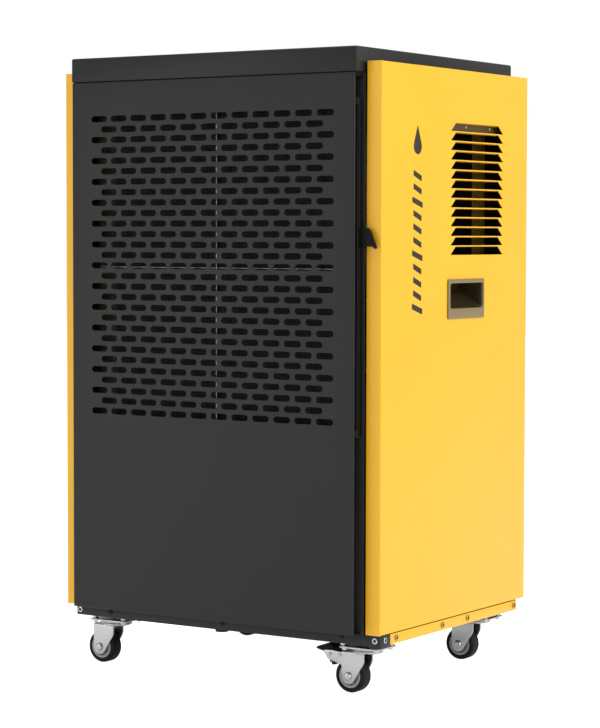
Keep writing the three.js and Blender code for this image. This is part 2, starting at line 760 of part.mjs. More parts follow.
// Motor carried by four arms whose feet stand on the bulkhead round the ring
function fanMotor() {
  const front = motorFront;
  const back = front + motorLength;
  const shoulder = 8;
  const armHalf = 8;
  const footThick = 8;
  const armY = [front + 10, front + 16];
  const footY = [bulkheadBack + touchGap, armY[1]];
  const foot = ringRadius + 5;
  const pieces = [
    turned([
      [0, front], [motorRadius - shoulder, front], [motorRadius, front + shoulder],
      [motorRadius, back - shoulder], [motorRadius - shoulder, back], [0, back],
    ], 'y', [0, fanZ], 24),
    rod('y', [0, fanZ], shaftRadius, [front - 22, front + 1], 12),
  ];
  for (const side of [-1, 1]) {
    const reach = [side * (motorRadius - 10), side * (foot + footThick)];
    const footSpan = [side * foot, side * (foot + footThick)];
    const up = (span) => span.map((value) => fanZ + value);
    pieces.push(block(reach, armY, up([-armHalf, armHalf])));
    pieces.push(block(footSpan, footY, up([-armHalf, armHalf])));
    pieces.push(block([-armHalf, armHalf], armY, up(reach)));
    pieces.push(block([-armHalf, armHalf], footY, up(footSpan)));
  }
  return joined(pieces);
}

// A closed can with sloped shoulders
function can(centre, radius, shoulder, rise, [bottom, top], segments) {
  return turned([
    [0, bottom], [radius - shoulder, bottom], [radius, bottom + rise],
    [radius, top - rise], [radius - shoulder, top], [0, top],
  ], 'z', centre, segments);
}

// Hermetic compressor on three rubber feet, with its suction accumulator strapped to its side
function compressorUnit() {
  const { x, y, radius, height, shoulder, base, baseThick } = compressor;
  const bottom = baseFloor + touchGap;
  const deck = bottom + compressorFoot.rise;
  const top = bottom + height;
  const sideX = x + accumulator.offset;
  const feet = [0, 1, 2].map((index) => {
    const angle = Math.PI / 6 + index * 2 * Math.PI / 3;
    const place = [x + compressorFoot.out * Math.cos(angle), y + compressorFoot.out * Math.sin(angle)];
    return rod('z', place, compressorFoot.radius, [bottom, deck + 1], 8);
  });
  const sideCan = [accumulator.bottom, accumulator.top];
  return joined([
    can([x, y], radius, shoulder, shoulder, [deck + baseThick - 1, top - 1], 24),
    rod('z', [x, y], base, [deck, deck + baseThick], 12),
    ...feet,
    rod('z', [x, y], stub.radius, [top - 4, top + stub.length], 8),
    can([sideX, y], accumulator.radius, accumulator.shoulder, accumulator.shoulder, sideCan, 16),
    rod('z', [sideX, y], stub.radius, [accumulator.top - 2, accumulator.top + stub.length], 8),
    block(
      [x + radius - 4, sideX - accumulator.radius + 4],
      [y - strap.half, y + strap.half],
      [strap.bottom, strap.top],
    ),
  ]);
}

function suctionPipe() {
  const x = compressor.x + accumulator.offset;
  const { y } = compressor;
  const coilY = evaporatorFront + coilDepth / 2;
  const coilZ = trayBottom + suctionRise;
  return pipe([
    [x, y, accumulator.top + stub.length + touchGap], [x, y, suctionZ], [pipeX, y, suctionZ],
    [pipeX, coilY, suctionZ], [pipeX, coilY, coilZ], [coilHalf + coilPlate + touchGap, coilY, coilZ],
  ], pipeRadius, pipeBend);
}

function dischargePipe() {
  const { x, y } = compressor;
  const top = baseFloor + touchGap + compressor.height + stub.length + touchGap;
  const coilY = condenserFront + coilDepth / 2;
  const coilZ = trayBottom + dischargeRise;
  return pipe([
    [x, y, top], [x, y, dischargeZ], [-pipeX, y, dischargeZ],
    [-pipeX, coilY, dischargeZ], [-pipeX, coilY, coilZ], [-coilHalf - coilPlate - touchGap, coilY, coilZ],
  ], dischargeRadius, dischargeBend);
}

function drainPipe() {
  const y = bulkheadFront - drainPipeInset;
  return pipe([
    [drainX, y, trayBottom - touchGap], [drainX, y, drainHeight],
    [drainX, coverBack - spout.inside, drainHeight],
  ], drainPipeRadius, drainBend);
}

// ---------------------------------------------------------------- casters

// Mounting plate with its four bolt spacers and the king pin that the fork turns on
function casterPlateSolid() {
  const bottom = casterHeight - casterPlate.thick;
  const spacerZ = [casterHeight - 0.5, casterHeight + casterBolts.height - touchGap];
  const corners = rectangle([-casterBolts.x / 2, casterBolts.x / 2], [-casterBolts.y / 2, casterBolts.y / 2]);
  return joined([
    block(
      [-casterPlate.x / 2, casterPlate.x / 2],
      [-casterPlate.y / 2, casterPlate.y / 2],
      [bottom, casterHeight],
    ),
    rod('z', [0, 0], kingPin.radius, [bottom - kingPin.length, bottom + 0.5], 12),
    ...corners.map((corner) => rod('z', corner, casterBolts.radius, spacerZ, 6)),
  ]);
}

// Cheek of the fork: a braked one reaches out behind the wheel round the pedal's pivot
function cheekOutline(braked) {
  const heelX = -trail - forkHeel;
  const { x, y: z } = pedalPivot;
  const shape = new THREE.Shape();
  shape.moveTo(forkNose, forkTop);
  shape.lineTo(heelX, forkTop);
  if (braked) {
    shape.lineTo(x - 14.5, z + 5.5);
    shape.lineTo(x - 4, z - 8);
    shape.lineTo(x + 8, z - 11);
    shape.lineTo(heelX, wheelRadius + 17);
  }
  shape.lineTo(heelX, wheelRadius);
  shape.absarc(-trail, wheelRadius, forkHeel, Math.PI, 2 * Math.PI);
  shape.lineTo(0, wheelRadius + 19);
  shape.lineTo(forkNose, forkTop - 6);
  return shape;
}

// Pressed fork: a dish under the plate, and a channel whose two cheeks hold the axle
function forkSolid(braked) {
  const under = casterHeight - casterPlate.thick - touchGap;
  const web = forkTop - forkSheet;
  const hole = kingPin.radius + runGap;
  const across = [-forkOuter - 1, forkOuter + 1];
  const along = [-2 * casterPlate.x, casterPlate.x];
  const behind = [-2 * casterPlate.x, -trail - forkHeel];
  const channel = cut(extruded(cheekOutline(braked), 'y', [-forkOuter, forkOuter], 5), [
    block(along, [-forkInner, forkInner], [0, web]),
    block(behind, [-forkInner, forkInner], [0, forkTop + 1]),
    rod('z', [0, 0], hole + 0.5, [web - 1, forkTop + 1], 12),
    rod('y', [-trail, wheelRadius], axleRadius + touchGap, across, 12),
  ]);
  const seat = forkTop - forkSheet / 2;
  const pieces = [channel, turned([
    [hole, seat], [dish.radius - dish.edge, seat], [dish.radius, seat + dish.edge],
    [dish.radius, under - dish.edge], [dish.radius - dish.edge, under], [hole, under], [hole, seat],
  ], 'z', [0, 0], 12)];
  if (braked) {
    const rivet = [pedalPivot.x + brakeRivet.ahead, pedalPivot.y + brakeRivet.above];
    pieces.push(rod('y', pedalPivot.toArray(), pedal.pin, across, 10));
    pieces.push(rod('y', rivet, brakeRivet.radius, across, 8));
  }
  return joined(pieces);
}

// Axle bolt with its head outside one cheek and its nut outside the other
function axleBolt() {
  const seat = forkOuter + touchGap;
  const hexRadius = 6.5;
  return joined([
    rod('y', [0, 0], axleRadius, [-seat - 1, seat + 1], 12),
    rod('y', [0, 0], hexRadius, [-seat - 4, -seat], 6),
    rod('y', [0, 0], hexRadius, [seat, seat + 3.5], 6),
  ]);
}

function wheelHub() {
  const bore = axleRadius + runGap;
  const faceY = treadWidth / 2;
  return turned([
    [bore, -faceY], [8, -faceY], [9, 4 - faceY], [rimRadius, 1.5 - faceY],
    [rimRadius, faceY - 1.5], [9, faceY - 4], [8, faceY], [bore, faceY], [bore, -faceY],
  ], 'y', [0, 0], 20);
}

function wheelTyre() {
  const inner = rimRadius + touchGap;
  const faceY = treadWidth / 2;
  return turned([
    [inner, 1 - faceY], [wheelRadius - 2, -faceY], [wheelRadius, 3 - faceY],
    [wheelRadius, faceY - 3], [wheelRadius - 2, faceY], [inner, faceY - 1], [inner, 1 - faceY],
  ], 'y', [0, 0], 20);
}

// Foot pedal between the cheeks, drawn about its pivot: its lower end swings against the tyre
function brakePedal() {
  const halfWidth = forkInner - pedal.room;
  const { x, y: z } = pedalPivot;
  const body = extruded(outline([
    [-28.5, 7], [-27, 9.5], [-9, 16.2], [-2, 16.2], [4.5, 9], [5.5, -3.2], [6, -16.5],
    [1, -16.7], [-3, -7.2], [-10, 1.5], [-20, 4.2], [-26, 5.5],
  ].map(([u, v]) => [x + u, z + v])), 'y', [-halfWidth, halfWidth]);
  return cut(body, [rod('y', [x, z], pedal.pin + runGap, [-halfWidth - 1, halfWidth + 1], 12)]);
}

function caster(name, x, y, braked, heading = 0) {
  const group = new THREE.Group();
  group.position.set(x, y, 0);
  group.rotation.z = heading;
  part(group, `${name}_plate`, casterPlateSolid(), zinc);
  part(group, `${name}_fork`, forkSolid(braked), zinc);
  const wheel = new THREE.Group();
  wheel.position.set(-trail, 0, wheelRadius);
  part(wheel, `${name}_axle`, axleBolt(), zinc);
  part(wheel, `${name}_hub`, wheelHub(), greyPlastic);
  part(wheel, `${name}_tyre`, wheelTyre(), rubber);
  group.add(wheel);
  if (braked) part(group, `${name}_brake_pedal`, brakePedal(), blackPlastic);
  return group;
}

// ---------------------------------------------------------------- assembly

const dehumidifier = new THREE.Group();

const cabinet = new THREE.Group();
cabinet.position.set(0, cabinetFront, cabinetBottom);
dehumidifier.add(cabinet);

part(cabinet, 'base_pan', basePan(), blackPaint);
part(cabinet, 'drain_plug', drainPlug(), rubber);
part(cabinet, 'corner_bracket', cornerBracket(), blackPaint);
for (const [side, word] of [[-1, 'left'], [1, 'right']]) {
  part(cabinet, `side_strip_${word}`, sideStrip(side), yellowPaint);
  part(cabinet, `side_panel_${word}`, sidePanel(side), yellowPaint);
  part(cabinet, `handle_cup_${word}`, handleCup(side), blackPlastic);
  part(cabinet, `rear_post_${word}`, rearPost(side), yellowPaint);
}
part(cabinet, 'front_panel', frontPanel(), blackPaint);
part(cabinet, 'front_frame', frontFrame(), blackPaint);
part(cabinet, 'filter_frame', filterFrame(), aluminium);
part(cabinet, 'filter_mesh', filterMesh(), filterNet);
part(cabinet, 'filter_pull_tab', filterTab(), blackPlastic);
part(cabinet, 'lid', lid(), blackPaint);
part(cabinet, 'rear_panel', rearPanel(), blackPaint);
part(cabinet, 'drain_spout', drainSpout(), blackPlastic);
part(cabinet, 'cable_gland', cableGland(), blackPlastic);

part(cabinet, 'control_fascia', controlFascia(), blackPlastic);
part(cabinet, 'display_window', displayWindow(), darkGlass);
['power', 'mode', 'down', 'up'].forEach((word, index) => {
  part(cabinet, `button_${word}`, button(buttonX[index]), greyPlastic);
});
part(cabinet, 'mains_rocker', rockerSwitch(), blackPlastic);
part(cabinet, 'electrical_box', electricalBox(), galvanised);

part(cabinet, 'drip_tray', dripTray(), galvanised);
part(cabinet, 'evaporator_coil', coil(evaporatorFront), aluminium);
part(cabinet, 'condenser_coil', coil(condenserFront), aluminium);
part(cabinet, 'fan_shroud', fanShroud(), galvanised);
part(cabinet, 'fan_impeller', fanImpeller(), blackPlastic);
part(cabinet, 'fan_motor', fanMotor(), blackPaint);
part(cabinet, 'compressor', compressorUnit(), blackPaint);
part(cabinet, 'suction_pipe', suctionPipe(), copper);
part(cabinet, 'discharge_pipe', dischargePipe(), copper);
part(cabinet, 'drain_pipe', drainPipe(), blackPlastic);

const casterX = half - casterInset.x;
const casterFrontY = cabinetFront + casterInset.front;
const casterRearY = cabinetFront + cabinetDepth - casterInset.rear;
dehumidifier.add(caster('caster_front_left', -casterX, casterFrontY, false));
dehumidifier.add(caster('caster_front_right', casterX, casterFrontY, true));
dehumidifier.add(caster('caster_rear_left', -casterX, casterRearY, true, Math.PI));
dehumidifier.add(caster('caster_rear_right', casterX, casterRearY, false));

export default dehumidifier;
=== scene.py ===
import math

import bmesh
import bpy
from mathutils import Matrix, Vector


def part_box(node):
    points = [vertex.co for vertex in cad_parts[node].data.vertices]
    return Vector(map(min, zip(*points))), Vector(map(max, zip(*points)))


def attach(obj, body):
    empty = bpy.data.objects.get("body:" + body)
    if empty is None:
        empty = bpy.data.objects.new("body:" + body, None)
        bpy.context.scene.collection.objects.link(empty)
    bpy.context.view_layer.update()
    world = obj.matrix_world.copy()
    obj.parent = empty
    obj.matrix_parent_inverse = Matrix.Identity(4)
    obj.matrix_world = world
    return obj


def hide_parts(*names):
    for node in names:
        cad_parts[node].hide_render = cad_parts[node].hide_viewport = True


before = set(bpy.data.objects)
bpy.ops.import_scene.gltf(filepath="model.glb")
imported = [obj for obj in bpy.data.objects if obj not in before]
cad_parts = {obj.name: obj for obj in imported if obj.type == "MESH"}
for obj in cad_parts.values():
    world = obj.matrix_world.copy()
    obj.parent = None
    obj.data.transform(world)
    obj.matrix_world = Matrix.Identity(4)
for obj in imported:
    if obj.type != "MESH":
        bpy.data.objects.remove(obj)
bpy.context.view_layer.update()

# ---- Studio
# A white room with a pale floor. A large soft light stands on the machine's right, with one overhead, a weak
# one in front and a narrow one by its left edge. The camera stands off its front right corner, at about seven
# tenths of its height.

stage = bpy.context.scene
stage.view_settings.view_transform = "Standard"
camera_place = Vector((2.1382, -3.3106, 0.7084))
camera_turn = math.radians(32.796)
camera_dip = math.radians(3.085)
camera_roll = math.radians(0.118)


def standing_camera():
    lens = bpy.data.cameras.new("camera")
    lens.sensor_width = 36
    lens.lens = 118.02
    lens.clip_end = 50
    camera = bpy.data.objects.new("camera", lens)
    look = Matrix.Rotation(camera_turn, 4, "Z") @ Matrix.Rotation(math.radians(90) - camera_dip, 4, "X")
    camera.matrix_world = Matrix.Translation(camera_place) @ look @ Matrix.Rotation(camera_roll, 4, "Z")
    stage.collection.objects.link(camera)
    return camera


def soft_light(name, place, aim, width, height, power):
    light = bpy.data.lights.new(name, "AREA")
    light.shape = "RECTANGLE"
    light.size = width
    light.size_y = height
    light.energy = power
    lamp = bpy.data.objects.new(name, light)
    towards = Vector(aim) - Vector(place)
    turn = towards.to_track_quat("-Z", "Y").to_matrix().to_4x4()
    lamp.matrix_world = Matrix.Translation(Vector(place)) @ turn
    stage.collection.objects.link(lamp)


def white_room():
    world = bpy.data.worlds.new("white_room")
    world.use_nodes = True
    tree = world.node_tree
    sky = tree.nodes["Background"]
    sky.inputs["Color"].default_value = (1.0, 1.0, 1.0, 1.0)
    seen = tree.nodes.new("ShaderNodeLightPath")
    level = tree.nodes.new("ShaderNodeMapRange")
    level.inputs["To Min"].default_value = 0.52
    level.inputs["To Max"].default_value = 1.0
    tree.links.new(seen.outputs["Is Camera Ray"], level.inputs["Value"])
    tree.links.new(level.outputs["Result"], sky.inputs["Strength"])
    stage.world = world


def pale_floor():
    bpy.ops.mesh.primitive_plane_add(size=24)
    floor = bpy.context.object
    floor.name = "floor"
    paint = bpy.data.materials.new("floor_paint")
    paint.use_nodes = True
    shader = paint.node_tree.nodes["Principled BSDF"]
    shader.inputs["Base Color"].default_value = (0.85, 0.85, 0.85, 1.0)
    shader.inputs["Roughness"].default_value = 0.85
    shader.inputs["Emission Color"].default_value = (1.0, 1.0, 1.0, 1.0)
    seen = paint.node_tree.nodes.new("ShaderNodeLightPath")
    level = paint.node_tree.nodes.new("ShaderNodeMapRange")
    level.inputs["To Min"].default_value = 0.25
    level.inputs["To Max"].default_value = 1.0
    paint.node_tree.links.new(seen.outputs["Is Camera Ray"], level.inputs["Value"])
    paint.node_tree.links.new(level.outputs["Result"], shader.inputs["Emission Strength"])
    floor.data.materials.append(paint)


stage.camera = standing_camera()
white_room()
pale_floor()
soft_light("key_right", (3.4, 0.3, 1.7), (0.2, 0.0, 0.5), 2.4, 2.6, 62)
soft_light("overhead", (0.2, -0.4, 3.4), (0.0, 0.0, 0.6), 2.6, 2.6, 50)
soft_light("front_fill", (-1.7, -3.6, 1.3), (0.0, 0.0, 0.45), 1.3, 1.8, 10)
soft_light("left_edge", (-1.0, -1.3, 0.6), (-0.3, -0.23, 0.5), 0.2, 1.0, 1.3)

# ---- Base tray
# Everything stands on a folded steel tray whose front wall is the skirt under the grille.
# It is powder coated black, with a fine texture. It steps in at its four corners, and the front right one
# takes the corner piece.

black_steel_colour = (0.014, 0.0143, 0.0150)
bend = 0.0022
tray_wall = 0.0015


def node(tree, kind, inputs=None, **settings):
    made = tree.nodes.new(kind)
    for label, value in settings.items():
        setattr(made, label, value)
    for label, value in (inputs or {}).items():
        if isinstance(value, bpy.types.NodeSocket):
            tree.links.new(value, made.inputs[label])
        else:
            made.inputs[label].default_value = value
    return made


def shade(colour, gain):
    return tuple(min(1.0, part * gain) for part in colour) + (1.0,)


def colour_mix(tree, factor, first, second):
    """A blend of two colours or colour sockets."""
    blend = node(tree, "ShaderNodeMix", data_type="RGBA")
    for index, value in ((0, factor), (6, first), (7, second)):
        if isinstance(value, bpy.types.NodeSocket):
            tree.links.new(value, blend.inputs[index])
        else:
            blend.inputs[index].default_value = value
    return blend.outputs[2]


def finish(name, colour, roughness, grain, depth, metallic=0.0, coat=0.0, stretch=(1, 1, 1), mottle=0.1,
           worn=None, wear=0.0, specular=0.5):
    """A coated or metal surface: mottled colour, grain in the height, and edges rubbed to the worn colour."""
    material = bpy.data.materials.new(name)
    material.use_nodes = True
    tree = material.node_tree
    shader = tree.nodes["Principled BSDF"]
    shader.inputs["Metallic"].default_value = metallic
    shader.inputs["Coat Weight"].default_value = coat
    shader.inputs["Coat Roughness"].default_value = 0.2
    shader.inputs["Specular IOR Level"].default_value = specular
    place = node(tree, "ShaderNodeTexCoord").outputs["Object"]
    drawn = node(tree, "ShaderNodeMapping", {"Vector": place, "Scale": stretch}).outputs["Vector"]
    cloud = node(tree, "ShaderNodeTexNoise", {"Vector": drawn, "Scale": 9.0, "Detail": 5.0})
    speck = node(tree, "ShaderNodeTexNoise", {"Vector": drawn, "Scale": 1.0 / grain, "Detail": 3.0})
    tint = colour_mix(tree, cloud.outputs["Fac"], shade(colour, 1 - mottle), shade(colour, 1 + mottle))
    gloss = node(tree, "ShaderNodeMapRange", {
        "Value": speck.outputs["Fac"],
        "From Min": 0.3, "From Max": 0.7,
        "To Min": roughness - 0.05, "To Max": roughness + 0.06,
    })
    tree.links.new(gloss.outputs["Result"], shader.inputs["Roughness"])
    if worn:
        rounded = node(tree, "ShaderNodeBevel", {"Radius": 0.0012}, samples=4)
        flat = node(tree, "ShaderNodeNewGeometry")
        match = node(tree, "ShaderNodeVectorMath", {
            0: rounded.outputs["Normal"], 1: flat.outputs["Normal"]}, operation="DOT_PRODUCT")
        edge = node(tree, "ShaderNodeMapRange", {
            "Value": match.outputs["Value"],
            "From Min": 0.97, "From Max": 0.75, "To Min": 0.0, "To Max": wear})
        broken = node(tree, "ShaderNodeMath", {
            0: edge.outputs["Result"], 1: speck.outputs["Fac"]}, operation="MULTIPLY")
        tint = colour_mix(tree, broken.outputs["Value"], tint, (*worn, 1.0))
    tree.links.new(tint, shader.inputs["Base Color"])
    height = node(tree, "ShaderNodeBump", {
        "Height": speck.outputs["Fac"], "Strength": 1.0, "Distance": depth})
    tree.links.new(height.outputs["Normal"], shader.inputs["Normal"])
    return material


def filleted(points, radius, steps=4, closed=True):
    """The points of a path with each corner replaced by an arc of that radius."""
    corners = [Vector(point) for point in points]
    rounded = []
    for index, here in enumerate(corners):
        if not closed and index in (0, len(corners) - 1):
            rounded.append(here)
            continue
        back = (corners[index - 1] - here).normalized()
        on = (corners[(index + 1) % len(corners)] - here).normalized()
        angle = back.angle(on)
        centre = here + (back + on).normalized() * radius / math.sin(angle / 2)
        start = here + back * radius / math.tan(angle / 2) - centre
        end = here + on * radius / math.tan(angle / 2) - centre
        sweep = math.pi - angle
        for step in range(steps + 1):
            share = step / steps
            arm = start * math.sin((1 - share) * sweep) + end * math.sin(share * sweep)
            rounded.append(centre + arm / math.sin(sweep))
    return rounded


def loft(loops, closed=True, low_cap=True, high_cap=True, joined=False):
    """A skin through rows of points; closed rows are rings, and joined closes the last row on the first."""
    count = len(loops[0])
    faces = []
    for row in range(len(loops) if joined else len(loops) - 1):
        here, there = row * count, (row + 1) % len(loops) * count
        for index in range(count if closed else count - 1):
            after = (index + 1) % count
            faces.append((here + index, here + after, there + after, there + index))
    if low_cap:
        faces.append(tuple(reversed(range(count))))
    if high_cap:
        faces.append(tuple(range((len(loops) - 1) * count, len(loops) * count)))
    return [point for loop in loops for point in loop], faces


def piece(name, skins, material, inside=None, wall=0.0, edge=0.0, crease=35):
    """One welded mesh from skins of (points, faces). A sheet faces away from inside and is walled inwards."""
    cage = bmesh.new()
    for points, faces in skins:
        corners = [cage.verts.new(point) for point in points]
        for face in faces:
            cage.faces.new([corners[index] for index in face])
    bmesh.ops.remove_doubles(cage, verts=cage.verts, dist=2e-6)
    bmesh.ops.recalc_face_normals(cage, faces=cage.faces)
    if inside is not None:
        outward = sum((face.calc_center_median() - Vector(inside)).dot(face.normal) * face.calc_area()
                      for face in cage.faces)
        if outward < 0:
            bmesh.ops.reverse_faces(cage, faces=cage.faces)
    mesh = bpy.data.meshes.new(name)
    cage.to_mesh(mesh)
    cage.free()
    made = bpy.data.objects.new(name, mesh)
    stage.collection.objects.link(made)
    mesh.materials.append(material)
    return dressed(made, wall, edge, crease)


def dressed(made, wall=0.0, edge=0.0, crease=35):
    """Gives a sheet its wall and sharp edges a small round, then keeps only the finished mesh."""
    if wall:
        solid = made.modifiers.new("wall", "SOLIDIFY")
        solid.thickness = wall
        solid.offset = -1
        solid.use_even_offset = True
    if edge:
        round_over = made.modifiers.new("edge", "BEVEL")
        round_over.width = edge
        round_over.segments = 2
        round_over.limit_method = "ANGLE"
        round_over.angle_limit = math.radians(crease)
        round_over.harden_normals = False
    mesh = bpy.data.meshes.new_from_object(made.evaluated_get(bpy.context.evaluated_depsgraph_get()))
    made.modifiers.clear()
    made.data = mesh
    mesh.name = made.name
    mesh.shade_smooth()
    mesh.set_sharp_from_angle(angle=math.radians(crease))
    return made


def folded_pan(outline, depth, bend, place):
    """The bent rim of a pan: rings from the face's edge round the bend and down its side wall."""
    rings = []
    count = len(outline)
    for step in range(5):
        turn = math.radians(90) * step / 4
        inset, drop = bend * (1 - math.sin(turn)), bend * (1 - math.cos(turn))
        rings.append((inset, drop))
    rings.append((0.0, depth))
    loops = []
    for inset, drop in rings:
        loop = []
        for index in range(count):
            here = Vector(outline[index])
            back = (here - Vector(outline[index - 1])).normalized()
            on = (Vector(outline[(index + 1) % count]) - here).normalized()
            left = Vector((-back.y, back.x)) + Vector((-on.y, on.x))
            corner = here + left * inset
            loop.append(place(corner.x, corner.y, drop))
        loops.append(loop)
    return loops


black_steel = finish("black_powder_coat", black_steel_colour, 0.42, 0.0011, 0.00012, mottle=0.05,
                     worn=(0.10, 0.10, 0.10), wear=0.3, specular=0.32)


def base_tray():
    low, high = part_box("base_pan")
    front_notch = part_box("corner_bracket")[1].y
    back_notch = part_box("side_strip_right")[1].y
    wide, narrow = high.x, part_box("corner_bracket")[0].x - 0.0003
    right = [(narrow, low.y), (narrow, front_notch), (wide, front_notch),
             (wide, back_notch), (narrow, back_notch), (narrow, high.y)]
    outline = right + [(-x, y) for x, y in reversed(right)]
    rim = folded_pan(outline, high.z - low.z, bend, lambda x, y, drop: Vector((x, y, low.z + drop)))
    floor = (rim[0], [tuple(range(len(outline)))])
    return piece("base_tray", [loft(rim, low_cap=False, high_cap=False), floor], black_steel,
                 inside=(0, 0, high.z + 0.3), wall=tray_wall, edge=0.0003)


tray = base_tray()
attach(tray, "root")
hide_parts("base_pan")

# ---- Drain bung
# A soft rubber plug pushed into the lowest point of the tray, with a flat round head and a moulded nipple.

soft_rubber = finish("soft_rubber", (0.02, 0.02, 0.021), 0.72, 0.0008, 0.0001, mottle=0.12)


def turned(profile, place, segments=48):
    """A profile of (radius, height) turned about the Z axis of a place."""
    loops = []
    for index in range(segments):
        angle = 2 * math.pi * index / segments
        loops.append([place @ Vector((r * math.cos(angle), r * math.sin(angle), h)) for r, h in profile])
    return loft(loops, closed=False, low_cap=False, high_cap=False, joined=True)


def bung():
    low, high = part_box("drain_plug")
    middle = (low + high) / 2
    place = Matrix.Translation((middle.x, middle.y, low.z))
    head = (high.x - low.x) / 2
    tall = high.z - low.z
    profile = filleted([(0, 0.0008), (0.004, 0.0008), (0.005, 0), (head, 0.0006), (head, 0.0045),
                        (0.006, 0.0046), (0.006, tall), (0, tall)], 0.0004, 2, closed=False)
    return piece("drain_bung", [turned(profile, place, 32)], soft_rubber)


plug = bung()
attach(plug, "root")
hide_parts("drain_plug")

# ---- Screws and nuts
# Button-head screws with a hexagon socket, and plain hexagon nuts, in zinc-plated or blackened steel.
# One tree sets a head or nut on every place.


def grown(name, tree, base, values, material, edge=0.0, crease=35):
    """Runs a tree on a base mesh with its named inputs set, and keeps the plain mesh that it makes."""
    made = bpy.data.objects.new(name, base)
    stage.collection.objects.link(made)
    modifier = made.modifiers.new("tree", "NODES")
    modifier.node_group = tree
    for item in tree.interface.items_tree:
        if item.in_out == "INPUT" and item.name in values:
            modifier[item.identifier] = values[item.name]
        if item.in_out == "INPUT" and item.name == "Material":
            modifier[item.identifier] = material
    mesh = bpy.data.meshes.new_from_object(made.evaluated_get(bpy.context.evaluated_depsgraph_get()))
    made.modifiers.clear()
    made.data = mesh
    mesh.materials.clear()
    mesh.materials.append(material)
    return dressed(made, 0.0, edge, crease)


def new_tree(name, inputs):
    """An empty tree with geometry in and out and named inputs of (type, value)."""
    tree = bpy.data.node_groups.new(name, "GeometryNodeTree")
    tree.interface.new_socket("Geometry", in_out="INPUT", socket_type="NodeSocketGeometry")
    for label, (kind, value) in inputs.items():
        socket = tree.interface.new_socket(label, in_out="INPUT", socket_type="NodeSocket" + kind)
        if value is not None:
            socket.default_value = value
    tree.interface.new_socket("Material", in_out="INPUT", socket_type="NodeSocketMaterial")
    tree.interface.new_socket("Geometry", in_out="OUTPUT", socket_type="NodeSocketGeometry")
    return tree, node(tree, "NodeGroupInput").outputs


def end_tree(tree, given, geometry):
    """Realizes the copies, gives them their material and joins the tree to its output."""
    real = node(tree, "GeometryNodeRealizeInstances", {"Geometry": geometry})
    coated = node(tree, "GeometryNodeSetMaterial", {
        "Geometry": real.outputs["Geometry"], "Material": given["Material"]})
    node(tree, "NodeGroupOutput", {"Geometry": coated.outputs["Geometry"]})
    return tree


def scatter_tree():
    """A copy of a template on each point, turned by the point's own attribute."""
    tree, given = new_tree("set_on_places", {"Template": ("Object", None), "Size": ("Float", 1.0)})
    template = node(tree, "GeometryNodeObjectInfo", {"Object": given["Template"]})
    turn = node(tree, "GeometryNodeInputNamedAttribute", {"Name": "turn"}, data_type="FLOAT_VECTOR")
    spin = node(tree, "FunctionNodeEulerToRotation", {0: turn.outputs["Attribute"]})
    copies = node(tree, "GeometryNodeInstanceOnPoints", {
        "Points": given["Geometry"], "Instance": template.outputs["Geometry"],
        "Rotation": spin.outputs["Rotation"], "Scale": given["Size"]})
    return end_tree(tree, given, copies.outputs["Instances"])


set_on_places = scatter_tree()


def scattered(name, template, places, material, size=1.0, edge=0.0):
    """Copies of a template object on places of (point, direction of its Z axis)."""
    base = bpy.data.meshes.new(name)
    base.from_pydata([place[0] for place in places], [], [])
    turns = base.attributes.new("turn", "FLOAT_VECTOR", "POINT")
    for index, (_, facing) in enumerate(places):
        turns.data[index].vector = Vector(facing).to_track_quat("Z", "Y").to_euler()
    return grown(name, set_on_places, base, {"Template": template, "Size": size}, material, edge)


def screw_head(radius=0.0055, tall=0.003, socket=0.0022):
    """Button head: a domed top with a hexagon socket sunk in it."""
    profile = [(0, tall - 0.0016), (1.0, tall - 0.0016), (1.0, tall), (0.62, tall), (0.84, tall * 0.82),
               (0.96, tall * 0.5), (1.0, tall * 0.12), (1.0, -0.0004), (0, -0.0004)]
    loops = []
    for index in range(24):
        angle = 2 * math.pi * index / 24
        hexagon = socket / math.cos(angle % math.radians(60) - math.radians(30))
        loop = []
        for row, (share, height) in enumerate(profile):
            out = 0 if share == 0 else hexagon if row in (1, 2) else share * radius
            loop.append(Vector((out * math.cos(angle), out * math.sin(angle), height)))
        loops.append(loop)
    return template_of("screw_head", loft(loops, closed=False, low_cap=False, high_cap=False, joined=True))


def hexagon_nut(across=0.0095, tall=0.005, hole=0.0026):
    """Hexagon nut with turned-down corners and the end of its bolt standing in it."""
    loops = []
    reach = across / 2 / math.cos(math.radians(30))
    for share, height in ((hole / reach, tall + 0.001), (hole / reach, tall - 0.0004), (0.84, tall),
                          (1.0, tall - 0.0006), (1.0, 0.0)):
        loops.append([Vector((share * reach * math.cos(math.radians(60 * index)),
                              share * reach * math.sin(math.radians(60 * index)), height))
                      for index in range(6)])
    return template_of("hexagon_nut", loft(loops))


def template_of(name, skin):
    mesh = bpy.data.meshes.new(name)
    mesh.from_pydata(skin[0], [], skin[1])
    cage = bmesh.new()
    cage.from_mesh(mesh)
    bmesh.ops.remove_doubles(cage, verts=cage.verts, dist=1e-6)
    bmesh.ops.recalc_face_normals(cage, faces=cage.faces)
    cage.to_mesh(mesh)
    cage.free()
    return bpy.data.objects.new(name, mesh)


zinc_plate = finish("bright_zinc_plate", (0.56, 0.56, 0.57), 0.28, 0.0009, 0.00004, metallic=1.0, mottle=0.07,
                    stretch=(1, 1, 0.35))
black_screw = finish("blackened_steel", (0.02, 0.02, 0.022), 0.42, 0.0006, 0.00004, metallic=0.6, mottle=0.2)
head = screw_head()
nut = hexagon_nut()

# ---- Casters
# Four swivel casters of pressed, zinc-plated steel, each with a grooved nylon hub and a rubber tyre.
# The front right and rear left ones have a foot brake. Each is held under the tray by four bolts on spacers.

